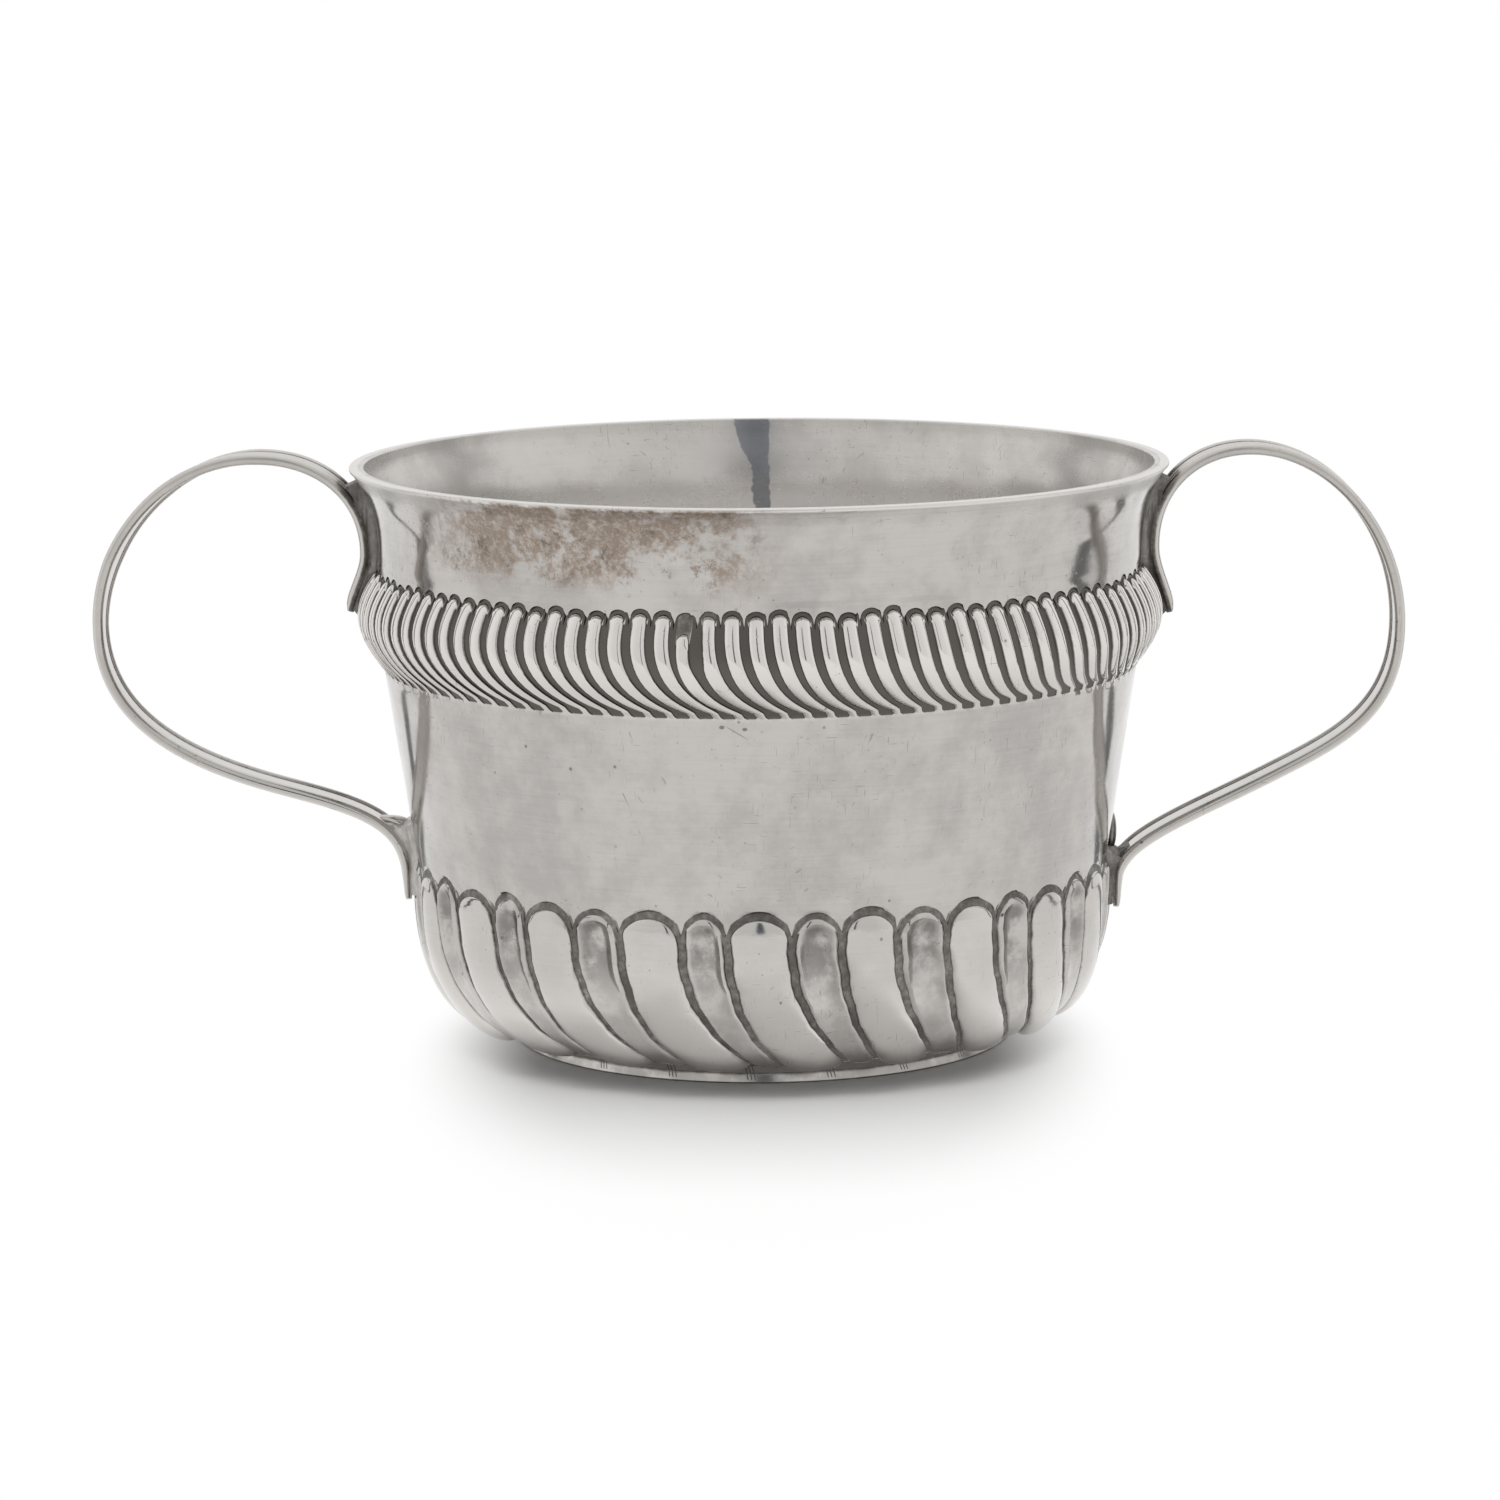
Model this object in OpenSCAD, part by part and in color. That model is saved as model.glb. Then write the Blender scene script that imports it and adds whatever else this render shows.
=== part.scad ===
// Two-handled silver cup: a raised and chased bowl, a lip wire, a foot ring and two soldered strap handles.
// Millimetres. The origin is the middle of the surface it stands on, +Z is up, the handles lie along X,
// and the front looks towards -Y. Angles round the cup start at the front and grow towards +X.

/* [Cup] */
// Height from the table to the top of the lip
cup_h = 75.2; // [72:0.2:84]
// Radius over the lip
rim_r = 53; // [52:0.5:58]
// Thickness of the sheet
wall_t = 0.7; // [0.5:0.1:1.1]
// How far the lip stands out from the narrowest neck
flare = 3.4; // [2.4:0.1:5]
// Drop from the top of the lip to the top of the chased band
neck_h = 12.9; // [10:0.1:16]
// Rise from the top of the chased band to the narrowest neck
neck_rise = 1.7; // [1:0.1:3]
// How far the wall just under the chased band lies in from the narrowest neck
wall_in = 0.7; // [0:0.1:2]
// How far the wall draws in from there down to the flutes
wall_taper = 3.7; // [2:0.1:5]

/* [Lip] */
// Width of the lip wire
lip_w = 1.2; // [0.8:0.1:1.6]
// Height of the lip wire
lip_h = 1.2; // [0.8:0.1:2]
// Width of the lip wire's underside, from which its outer face flares up to the lip
lip_foot_w = 0.4; // [0.3:0.05:0.7]
// Rounding of the lip wire's outer edge
lip_round = 0.25; // [0.1:0.05:0.5]
// Height of the solder line under the lip wire
lip_solder_h = 0.7; // [0.4:0.1:1]

/* [Chased band] */
// Height of the band
band_h = 13.3; // [11:0.1:14]
// How far the band swells out
band_rise = 3; // [1.5:0.1:4]
// Number of gadroons round the band
gadroon_n = 110; // [80:1:120]
// Depth of the grooves between gadroons
gadroon_d = 0.9; // [0.3:0.05:1.2]
// Height of a gadroon's rounded top
gadroon_arch = 1.4; // [0.8:0.1:2]
// Angle by which a gadroon sweeps to the right on its way down
gadroon_sweep = 7.2; // [0:0.1:12]

/* [Lobes and flutes] */
// Height of the arched tops of the lobes and flutes
flute_top_z = 24.5; // [20:0.5:28]
// Number of pairs of lobe and flute
flute_n = 20; // [14:1:24]
// How far the lobes swell out from the wall above them
belly_swell = 0.6; // [0.2:0.1:2]
// Drop from the arched tops to the fullest place
belly_drop = 2.5; // [1.5:0.1:4]
// Squareness of the curve under the belly, 2 for an ellipse
belly_e = 2.5; // [2:0.1:3]
// Share of each pair that is lobe
lobe_share = 0.56; // [0.45:0.01:0.65]
// Height of a lobe over its edges
lobe_h = 0.8; // [0.3:0.05:1.2]
// Depth of a flute under its edges
flute_d = 0.7; // [0.3:0.05:1]
// Depth of the chased line round each lobe and flute
line_d = 0.35; // [0.1:0.05:0.5]
// Drop from the top of an arch to its springing
arch_drop = 3.2; // [2:0.1:4]
// Angle by which a lobe turns to the right on its way down
spiral = 11.5; // [0:0.5:24]

/* [Base] */
// Radius at which the curve under the belly would run out flat
base_r = 33.5; // [30:0.1:36]
// Height at which that curve runs out, up from the foot ring
base_rise = 0.5; // [0.3:0.1:2]
// How far the foot ring's outside lies in from that radius
foot_in = 0.9; // [0.6:0.1:2]
// Width of the foot ring
foot_w = 2.2; // [1.6:0.1:3]
// Height of the foot ring
foot_h = 1.3; // [1:0.1:1.6]
// How far the foot ring's outside leans in towards its top
foot_lean = 0.3; // [0:0.05:0.6]
// Rounding of the foot ring's lower outer edge
foot_round = 0.2; // [0.1:0.05:0.45]
// Leg of the solder fillet inside the foot ring
foot_solder_leg = 0.7; // [0.4:0.1:0.9]
// How far the bottom is domed up in the middle
bottom_dome = 0.8; // [0:0.1:2]

/* [Handles] */
// Width of the strap
strap_w = 7.5; // [5:0.1:9]
// Thickness of the strap
strap_t = 1.4; // [1:0.1:2]
// Width of the bead along each edge of the strap
bead_w = 1; // [0.6:0.1:1.4]
// Half width of the rib along the middle of the strap
rib_w = 0.9; // [0.5:0.1:1.2]
// Depth of the grooves between the rib and the beads
reed_d = 0.3; // [0.1:0.05:0.5]
// Thickness of the solder bed between the strap and the narrowest neck
bed_t = 0.7; // [0.3:0.1:1.2]
// Drop of the curled upper tip below the top of the chased band
tip_drop = 4.6; // [3:0.1:8]
// How far the curled tip stands off the band
tip_lift = 0.35; // [0.2:0.05:1.5]
// Share of its width that the strap keeps at its two ends
end_taper = 0.75; // [0.5:0.05:1]

/* [Left handle] */
// Top of the loop, out from the lip
left_top_out = 12; // [8:0.5:18]
// Top of the loop, up from the lip
left_top_up = 1; // [-2:0.1:4]
// Outermost place of the loop, out from the lip
left_reach = 32.8; // [26:0.2:38]
// Outermost place of the loop, down from the lip
left_reach_down = 21; // [18:0.5:26]
// A place on the lower arm, out from the lobes
left_arm_out = 16.4; // [14:0.2:22]
// That place on the lower arm, up from the flutes' arched tops
left_arm_up = 8.4; // [5:0.2:12]
// Slope of the lower arm
left_arm_slope = 15.5; // [10:0.5:35]
// Where the strap lies on the wall, down from the flutes' arched tops
left_land_down = 2.5; // [1.5:0.1:4]
// Length of the bend above that place
left_bend = 6.5; // [3:0.1:8]
// Length of strap that lies on the wall
left_land = 3.6; // [2:0.1:6]

/* [Right handle] */
// Top of the loop, out from the lip
right_top_out = 10.4; // [8:0.5:18]
// Top of the loop, up from the lip
right_top_up = 1.2; // [-2:0.1:4]
// Outermost place of the loop, out from the lip
right_reach = 29.9; // [26:0.2:38]
// Outermost place of the loop, down from the lip
right_reach_down = 21.6; // [18:0.5:26]
// A place on the lower arm, out from the lobes
right_arm_out = 21; // [14:0.5:26]
// That place on the lower arm, up from the flutes' arched tops
right_arm_up = 9.3; // [5:0.2:12]
// Slope of the lower arm
right_arm_slope = 27; // [10:0.5:35]
// Where the strap lies on the wall, down from the flutes' arched tops
right_land_down = 4; // [1.5:0.1:5]
// Length of the bend above that place
right_bend = 4.5; // [3:0.1:8]
// Length of strap that lies on the wall
right_land = 3.9; // [2:0.1:6]

/* [Spurs] */
// Radius of the spur where it is fullest
spur_r = 0.65; // [0.4:0.05:1]
// Length of the spur
spur_len = 4.4; // [3:0.1:6]
// Lean of the left spur away from the wall, down onto the strap
left_spur_lean = 57; // [48:1:58]
// Rise of the left spur's foot above the solder
left_spur_up = 1.9; // [1.7:0.1:2.4]
// Lean of the right spur away from the wall
right_spur_lean = 0; // [0:1:10]
// Rise of the right spur's foot above the solder
right_spur_up = 0.05; // [0.05:0.05:1]

/* [Hidden] */
$fn = 96;

// Clearance between pieces that lie against each other
seat_gap = 0.05;
silver = [0.78, 0.77, 0.75];
worn_silver = [0.70, 0.69, 0.67];
dark_solder = [0.42, 0.40, 0.38];

lip_z = cup_h - lip_h;
band_top_z = cup_h - neck_h;
band_z = band_top_z - band_h;
neck_z = band_top_z + neck_rise;
belly_z = flute_top_z - belly_drop;
base_z = foot_h + base_rise;
sheet_top_r = rim_r - lip_w;
neck_r = rim_r - flare;
wall_top_r = neck_r - wall_in;
wall_foot_r = wall_top_r - wall_taper;
belly_r = wall_foot_r + belly_swell;
foot_r = base_r - foot_in;
belly_out = belly_r - base_r;
belly_fall = belly_z - base_z;
pair_pitch = 360 / flute_n;

// The bowl's plain outline, as radius at a height
function neck_wall(z) =
    neck_r + (sheet_top_r - neck_r) * pow(max(0, z - neck_z) / (lip_z - neck_z), 2);
function side_wall(z) =
    wall_foot_r + (wall_top_r - wall_foot_r) * (z - flute_top_z) / (band_z - flute_top_z);
function band_swell(z) =
    let (down = (band_top_z - z) / band_h)
    neck_r + (wall_top_r - neck_r) * down + band_rise * sin(180 * down);

// The curve under the belly, by an angle from 0 at the fullest place to 90 where it would run out flat
function belly_at(a) =
    [base_r + belly_out * pow(cos(a), 2 / belly_e), belly_z - belly_fall * pow(sin(a), 2 / belly_e)];
function belly_normal(a) =
    let (k = 2 - 2 / belly_e, g = [pow(cos(a), k) / belly_out, -pow(sin(a), k) / belly_fall])
    g / norm(g);

// A point on the cup at a radius, an angle from the front and a height
function on_cup(r, angle, z) = [r * sin(angle), -r * cos(angle), z];
function plain_ring(r, z, count, turn) =
    [for (i = [0 : count - 1]) on_cup(r, turn + 360 * i / count, z)];

// Faces between two rings of any counts, each ring listed counterclockwise from its far side
function between_rings(sa, na, sb, nb) = concat(
    na == 1 ? [] : [for (i = [0 : na - 1])
        let (j = (floor(((2 * i + 1) * nb - na) / (2 * na)) + 1) % nb)
        [sa + i, sb + j, sa + (i + 1) % na]],
    nb == 1 ? [] : [for (j = [0 : nb - 1])
        let (i = ceil(((2 * j + 1) * na - nb) / (2 * nb)) % na)
        [sa + i, sb + j, sb + (j + 1) % nb]]);
function ring_starts(rings, k = 0, sum = 0) =
    k == len(rings) ? [] : concat([sum], ring_starts(rings, k + 1, sum + len(rings[k])));

// A closed skin through rings that start and end in a single point
module skin(rings) {
    starts = ring_starts(rings);
    polyhedron(
        points = [for (r = rings) each r],
        faces = [for (k = [0 : len(rings) - 2])
            each between_rings(starts[k], len(rings[k]), starts[k + 1], len(rings[k + 1]))],
        convexity = 10);
}

// Chased band: one column of points in each groove and one on each crest
neck_cols = gadroon_n;
band_cols = 2 * gadroon_n;
outline_d = 0.25;
band_steps = [0.1, 0.28, 0.46, 0.64, 0.82];
// How late on its way down a gadroon starts to sweep
sweep_ease = 3;
function band_turn(t) = -gadroon_sweep * (1 - pow(t, sweep_ease));
function band_ring(t, groove, all_round) =
    [for (i = [0 : band_cols - 1])
        let (in_groove = i % 2 == 0,
             top_z = band_top_z - (in_groove ? gadroon_arch : 0),
             z = top_z + (band_z - top_z) * t,
             r = band_swell(z) - all_round - (in_groove ? groove : 0))
        on_cup(r, band_turn(t) + 360 * i / band_cols, z)];

// Lobes and flutes: half of each pair's columns on the lobe and half in the flute, from edge towards edge
half_cols = 4;
pair_cols = 2 * half_cols;
flute_cols = pair_cols * flute_n;
flute_angles = [8, 21, 34, 47, 60, 72];
lobe_end_a = 80;
edge_end_a = 76;
// How slowly the spiral starts, and how much of its height a lobe has just inside its arch
spiral_ease = 2.6;
arch_fill = 0.6;
arch_in = 1.2;
function across(col) = 2 * (col % half_cols) / half_cols - 1;
function is_lobe(col) = col < half_cols;
function pair_phase(col) =
    is_lobe(col) ? lobe_share * across(col) / 2 : 0.5 + (1 - lobe_share) * across(col) / 2;
function relief(col) =
    let (v = across(col))
    (is_lobe(col) ? -lobe_h * v * v : -lobe_h - flute_d * (1 - v * v)) - (v == -1 ? line_d : 0);
function arch_z(col) = flute_top_z - arch_drop * (1 - sqrt(1 - pow(across(col), 2)));
function spiral_at(z) = spiral * pow(max(0, (belly_z - z) / belly_fall), spiral_ease);
function flute_angle(i, z) =
    (floor(i / pair_cols) + pair_phase(i % pair_cols)) * pair_pitch + spiral_at(z);
function flute_ring(depth) =
    [for (i = [0 : flute_cols - 1])
        let (col = i % pair_cols, z = arch_z(col) - depth, wall = side_wall(z),
             r = depth == 0 ? wall - line_d : wall + arch_fill * (belly_r + relief(col) - wall))
        on_cup(r, flute_angle(i, z), z)];
function belly_point(a, lift, i) =
    let (p = belly_at(a) + belly_normal(a) * lift)
    on_cup(p[0], flute_angle(i, belly_at(a)[1]), p[1]);
function belly_ring(a) =
    [for (i = [0 : flute_cols - 1]) belly_point(a, relief(i % pair_cols), i)];
function lobe_end_ring() =
    [for (i = [0 : flute_cols - 1])
        let (v = across(i % pair_cols), a = lobe_end_a - (lobe_end_a - edge_end_a) * v * v)
        belly_point(a, -lobe_h - line_d, i)];

// Inside of the bowl: four columns to a pair, on the lobe, the flute and the two lines between them
inner_cols = 4 * flute_n;
inner_phase = [-lobe_share / 2, 0, lobe_share / 2, 0.5];
inner_relief = [-lobe_h, 0, -lobe_h, -lobe_h - flute_d];
function inner_belly_ring(a) =
    [for (i = [0 : inner_cols - 1])
        let (p = belly_at(a) + belly_normal(a) * (inner_relief[i % 4] - wall_t),
             angle = (floor(i / 4) + inner_phase[i % 4]) * pair_pitch)
        on_cup(p[0], angle + spiral_at(belly_at(a)[1]), p[1])];
function inner_plain_ring(r, z, share) =
    [for (i = [0 : inner_cols - 1])
        let (angle = (floor(i / 4) + inner_phase[i % 4]) * pair_pitch)
        on_cup(r - wall_t, angle - gadroon_sweep * share, z)];

bottom_z = foot_h + seat_gap;
bottom_r = foot_r - foot_lean;
neck_steps = 4;
inner_band_steps = [0.15, 0.5, 0.85];

outer_rings = concat(
    [[[0, 0, bottom_z + bottom_dome]]],
    [plain_ring(foot_r - foot_w - 2 * foot_solder_leg, bottom_z, inner_cols, spiral)],
    [plain_ring(bottom_r, bottom_z, inner_cols, spiral)],
    [lobe_end_ring()],
    [for (k = [len(flute_angles) - 1 : -1 : 0]) belly_ring(flute_angles[k])],
    [flute_ring(arch_in), flute_ring(0)],
    [plain_ring(side_wall(flute_top_z + arch_in), flute_top_z + arch_in, neck_cols, 0)],
    [plain_ring(side_wall(band_z - arch_in), band_z - arch_in, neck_cols, 0)],
    [band_ring(1, 0, 0)],
    [for (k = [len(band_steps) - 1 : -1 : 0]) band_ring(band_steps[k], gadroon_d, 0)],
    [band_ring(0, 0, outline_d)],
    [for (k = [0 : neck_steps])
        let (z = neck_z + (lip_z - neck_z) * k / neck_steps)
        plain_ring(neck_wall(z), z, neck_cols, -gadroon_sweep)],
    [plain_ring(sheet_top_r, cup_h, neck_cols, -gadroon_sweep)]);
inner_rings = concat(
    [inner_plain_ring(sheet_top_r, cup_h, 1)],
    [for (k = [neck_steps : -2 : 0])
        let (z = neck_z + (lip_z - neck_z) * k / neck_steps)
        inner_plain_ring(neck_wall(z), z, 1)],
    [for (t = inner_band_steps)
        let (z = band_top_z - band_h * t)
        inner_plain_ring(band_swell(z) - gadroon_d, z, 1 - t)],
    [inner_plain_ring(side_wall(flute_top_z), flute_top_z, 0)],
    [for (a = flute_angles) inner_belly_ring(a)],
    [plain_ring(bottom_r, bottom_z + wall_t, inner_cols, spiral)],
    [[[0, 0, bottom_z + bottom_dome + wall_t]]]);

module cup_body() {
    color(silver) skin(concat(outer_rings, inner_rings));
}

// The wire goes on from the neck's flare, with a flat top and one rounded edge
module lip_wire() {
    in_r = sheet_top_r + seat_gap;
    corner = [for (a = [0 : 15 : 90]) [cos(a), sin(a)] * lip_round];
    color(silver)
        rotate_extrude()
            polygon(concat(
                [[in_r, cup_h], [in_r, lip_z], [sheet_top_r + lip_foot_w, lip_z]],
                [for (c = corner) [rim_r - lip_round + c[0], cup_h - lip_round + c[1]]]));
}

module lip_solder() {
    low_z = lip_z - lip_solder_h;
    top_z = lip_z - seat_gap;
    color(silver)
        rotate_extrude()
            polygon([[neck_wall(low_z) + seat_gap, low_z],
                     [sheet_top_r + lip_foot_w, top_z],
                     [sheet_top_r + seat_gap, top_z]]);
}

// The foot ring widens a little towards the table
module foot_ring() {
    in_r = foot_r - foot_w;
    corner = [for (a = [90 : -15 : 0]) [cos(a), -sin(a)] * foot_round];
    color(worn_silver)
        rotate_extrude()
            polygon(concat(
                [[in_r, foot_h], [in_r, 0]],
                [for (c = corner) [foot_r - foot_round + c[0], foot_round + c[1]]],
                [[foot_r - foot_lean, foot_h]]));
}

module foot_solder() {
    inside_r = foot_r - foot_w - seat_gap;
    color(dark_solder)
        rotate_extrude()
            polygon([[inside_r, foot_h],
                     [inside_r - foot_solder_leg, foot_h],
                     [inside_r, foot_h - foot_solder_leg]]);
}

// The strap's section, across its width and out from its middle: flat inside, with beads and a rib outside
half_w = strap_w / 2;
half_t = strap_t / 2;
strap_section = [
    [-half_w, -half_t], [half_w, -half_t],
    [half_w, half_t - reed_d / 2], [half_w - bead_w / 2, half_t], [half_w - bead_w, half_t - reed_d],
    [rib_w, half_t - reed_d], [0, half_t], [-rib_w, half_t - reed_d],
    [-half_w + bead_w, half_t - reed_d], [-half_w + bead_w / 2, half_t], [-half_w, half_t - reed_d / 2]];

// A handle's sizes in one list: top out and up, reach and its drop, arm out, up and slope, then landing,
// bend and length
left_sizes = [left_top_out, left_top_up, left_reach, left_reach_down, left_arm_out, left_arm_up,
              left_arm_slope, left_land_down, left_bend, left_land];
right_sizes = [right_top_out, right_top_up, right_reach, right_reach_down, right_arm_out, right_arm_up,
               right_arm_slope, right_land_down, right_bend, right_land];

// The strap's middle line, as cubic curves between the places where its direction is known
land_r = belly_r + seat_gap + half_t;
tip_z = band_top_z - tip_drop;
tip_r = band_swell(tip_z) + tip_lift + half_t;
neck_mid_r = neck_r + bed_t + half_t;
// How far each curve keeps to its starting and ending directions, as shares of the distance it covers
curl_pull = 0.45;
rise_pull = 0.45;
curl_end_pull = 0.3;
neck_pull = 0.59;
round_pull = 0.53;
far_pull = 0.6;
arm_pull = 0.38;
land_pull = 0.48;
function route_curves(s) =
    let (tip = [tip_r, tip_z],
         neck = [neck_mid_r, neck_z],
         top = [rim_r + s[0], cup_h + s[1]],
         far = [rim_r + s[2], cup_h - s[3]],
         arm = [belly_r + s[4], flute_top_z + s[5]],
         along = -[cos(s[6]), sin(s[6])],
         land = [land_r, flute_top_z - s[7]],
         end = land - [0, s[9]],
         curl = [(neck[0] - tip[0]) * curl_pull, (neck[1] - tip[1]) * rise_pull])
    [[tip, tip + curl, neck - [0, (neck[1] - tip[1]) * curl_end_pull], neck],
     [neck, neck + [0, (top[1] - neck[1]) * neck_pull], top - [(top[0] - neck[0]) * neck_pull, 0], top],
     [top, top + [(far[0] - top[0]) * round_pull, 0], far + [0, (top[1] - far[1]) * round_pull], far],
     [far, far - [0, (far[1] - arm[1]) * far_pull], arm - along * norm(far - arm) * arm_pull, arm],
     [arm, arm + along * norm(arm - land) * land_pull, land + [0, s[8]], land],
     [land, land - [0, s[9] / 3], end + [0, s[9] / 3], end]];
curve_steps = [5, 10, 9, 9, 10, 2];
function bezier(c, t) =
    c[0] * pow(1 - t, 3) + c[1] * 3 * t * pow(1 - t, 2) + c[2] * 3 * t * t * (1 - t) + c[3] * pow(t, 3);
function bezier_way(c, t) =
    let (d = (c[1] - c[0]) * pow(1 - t, 2) + (c[2] - c[1]) * 2 * t * (1 - t) + (c[3] - c[2]) * t * t)
    d / norm(d);
function left_of(d) = [-d[1], d[0]];

// Points and directions along the route, without repeating the places where two curves meet
function route(s) =
    let (curves = route_curves(s), last = len(curves) - 1)
    [for (k = [0 : last])
        for (i = [0 : curve_steps[k] - (k == last ? 0 : 1)])
            let (t = i / curve_steps[k])
            [bezier(curves[k], t), bezier_way(curves[k], t)]];
// The strap narrows over its first and last few steps
taper_steps = 4;
function width_share(i, count) =
    let (from_end = min(i, count - 1 - i) / taper_steps)
    end_taper + (1 - end_taper) * min(1, from_end);

module strap(s) {
    way = route(s);
    count = len(way);
    rings = [for (i = [0 : count - 1])
        let (p = way[i][0], n = left_of(way[i][1]), share = width_share(i, count))
        [for (q = strap_section) [p[0] + n[0] * q[1], q[0] * share, p[1] + n[1] * q[1]]]];
    middle = function (i) [way[i][0][0], 0, way[i][0][1]];
    skin(concat([[middle(0)]], rings, [[middle(count - 1)]]));
}

module left_handle() {
    color(worn_silver) mirror([1, 0, 0]) strap(left_sizes);
}

module right_handle() {
    color(worn_silver) strap(right_sizes);
}

// An outline in the plane of a handle, as thick as a share of the strap's width and centred on that plane
module in_handle_plane(share) {
    rotate([90, 0, 0]) linear_extrude(height = strap_w * share, center = true) children();
}

// Solder between the strap and the cup, from just above the strap's curled tip up to the lip
upper_share = 0.8;
upper_steps = 8;
upper_start_t = 0.1;
upper_end_t = 0.42;
function beside_neck(z) = (z < band_top_z ? band_swell(z) : neck_wall(z)) + seat_gap;
function strap_face(c, t) = bezier(c, t) + left_of(bezier_way(c, t)) * (half_t + seat_gap);
module upper_solder(s) {
    curves = route_curves(s);
    tail_step = (1 - upper_start_t) / upper_steps;
    tail = [for (k = [0 : upper_steps - 1]) strap_face(curves[0], upper_start_t + tail_step * k)];
    rise = [for (k = [0 : upper_steps]) strap_face(curves[1], upper_end_t * k / upper_steps)];
    // Only where the strap lies far enough off the cup for the solder to have a thickness
    strap_side = [for (p = concat(tail, rise)) if (p[0] > beside_neck(p[1]) + seat_gap) p];
    low_z = strap_side[0][1];
    top_z = lip_z - lip_solder_h - seat_gap;
    wall_steps = 2 * upper_steps;
    wall_side = [for (k = [wall_steps : -1 : 0])
        let (z = low_z + (top_z - low_z) * k / wall_steps)
        [beside_neck(z), z]];
    in_handle_plane(upper_share) polygon(concat(strap_side, wall_side));
}

module left_upper_solder() {
    color(dark_solder) mirror([1, 0, 0]) upper_solder(left_sizes);
}

module right_upper_solder() {
    color(dark_solder) upper_solder(right_sizes);
}

// Solder in the crotch where the strap leaves the wall, up to the foot of the spur
lower_share = 0.7;
lower_steps = 6;
lower_start_t = 0.95;
lower_end_t = 0.78;
wall_line = land_r - half_t;
wall_lean = atan2(wall_taper, band_z - flute_top_z);
function beside_wall(z) = max(wall_line, side_wall(z) + seat_gap);
module lower_solder(s) {
    drop = route_curves(s)[4];
    // Only where the strap has left the wall far enough for the solder to have a thickness
    strap_side = [for (k = [0 : lower_steps])
        let (t = lower_start_t + (lower_end_t - lower_start_t) * k / lower_steps,
             p = bezier(drop, t) - left_of(bezier_way(drop, t)) * (half_t + seat_gap))
        if (p[0] > beside_wall(p[1]) + seat_gap) p];
    low_z = strap_side[0][1];
    high_z = strap_side[len(strap_side) - 1][1];
    in_handle_plane(lower_share)
        polygon(concat([[beside_wall(high_z), high_z], [beside_wall(low_z), low_z]], strap_side));
}

module left_lower_solder() {
    color(dark_solder) mirror([1, 0, 0]) lower_solder(left_sizes);
}

module right_lower_solder() {
    color(dark_solder) lower_solder(right_sizes);
}

// A small drop-shaped leaf with its blunt end beside the wall, above the lower solder
leaf_steps = 8;
leaf_low = 0.7;
leaf_blunt = 0.8;
function leaf_r(t) = spur_r * pow(sin(180 * pow(t, leaf_low)), leaf_blunt);
module spur(s, lean, up) {
    drop = route_curves(s)[4];
    crotch = bezier(drop, lower_end_t) - left_of(bezier_way(drop, lower_end_t)) * (half_t + seat_gap);
    foot_z = crotch[1] + up;
    translate([beside_wall(foot_z) + spur_r, 0, foot_z])
        rotate([0, wall_lean + lean, 0])
            rotate_extrude()
                polygon(concat([[0, 0]],
                    [for (k = [1 : leaf_steps - 1]) [leaf_r(k / leaf_steps), spur_len * k / leaf_steps]],
                    [[0, spur_len]]));
}

module left_spur() {
    color(worn_silver) mirror([1, 0, 0]) spur(left_sizes, left_spur_lean, left_spur_up);
}

module right_spur() {
    color(worn_silver) spur(right_sizes, right_spur_lean, right_spur_up);
}

cup_body();
lip_wire();
lip_solder();
foot_ring();
foot_solder();
left_handle();
right_handle();
left_upper_solder();
right_upper_solder();
left_lower_solder();
right_lower_solder();
left_spur();
right_spur();
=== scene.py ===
import math
import bpy
import numpy as np
from mathutils import Matrix


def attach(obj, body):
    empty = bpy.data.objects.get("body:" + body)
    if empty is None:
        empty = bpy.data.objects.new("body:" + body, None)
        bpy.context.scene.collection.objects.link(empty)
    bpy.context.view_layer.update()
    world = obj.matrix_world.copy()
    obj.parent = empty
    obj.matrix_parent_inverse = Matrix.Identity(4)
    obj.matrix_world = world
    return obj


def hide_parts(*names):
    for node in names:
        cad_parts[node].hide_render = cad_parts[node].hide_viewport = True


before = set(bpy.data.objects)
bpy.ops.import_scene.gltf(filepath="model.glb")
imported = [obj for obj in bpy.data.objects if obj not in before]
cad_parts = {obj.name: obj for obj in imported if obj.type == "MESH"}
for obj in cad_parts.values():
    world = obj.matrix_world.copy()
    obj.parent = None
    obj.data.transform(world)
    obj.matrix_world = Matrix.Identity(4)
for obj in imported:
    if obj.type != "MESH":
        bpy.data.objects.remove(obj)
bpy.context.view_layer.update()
mm = 0.001
rng = np.random.default_rng(11)
bpy.ops.object.select_all(action="DESELECT")
print("frame loaded:", len(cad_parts), "nodes")

# the bowl in mm: heights from the table, radii from the axis, angles from the front towards +X
cup = dict(
    height=75.2, rimR=53.0, wallT=0.7, neckR=49.6, neckRise=1.7, flarePower=2.6,
    wallTopR=48.9, wallFootR=45.2, lipW=1.2, lipH=1.2, lipRound=0.25, lipSolder=0.7,
    bandTopZ=62.3, bandH=13.3, bandRise=3.0, archTopZ=24.5,
    bellyR=45.8, bellyDrop=2.5, bellyPower=2.5, baseR=33.5, baseZ=1.8,
    footR=32.6, footW=2.2, footH=1.3, footLean=0.3, footRound=0.2, seatGap=0.05, bottomDome=0.8,
    dent=0.05,                               # how far the hammered sheet wavers
    # the hammer's slow waves: how many to a turn, lean, start and share
    hammer=[(3, 0.05, 0, 1), (7, -0.16, 1, 0.8), (13, 0.27, 0, 0.6), (23, -0.4, 2, 0.5)],
)
bandZ = cup["bandTopZ"] - cup["bandH"]
lipZ = cup["height"] - cup["lipH"]
neckZ = cup["bandTopZ"] + cup["neckRise"]
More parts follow.
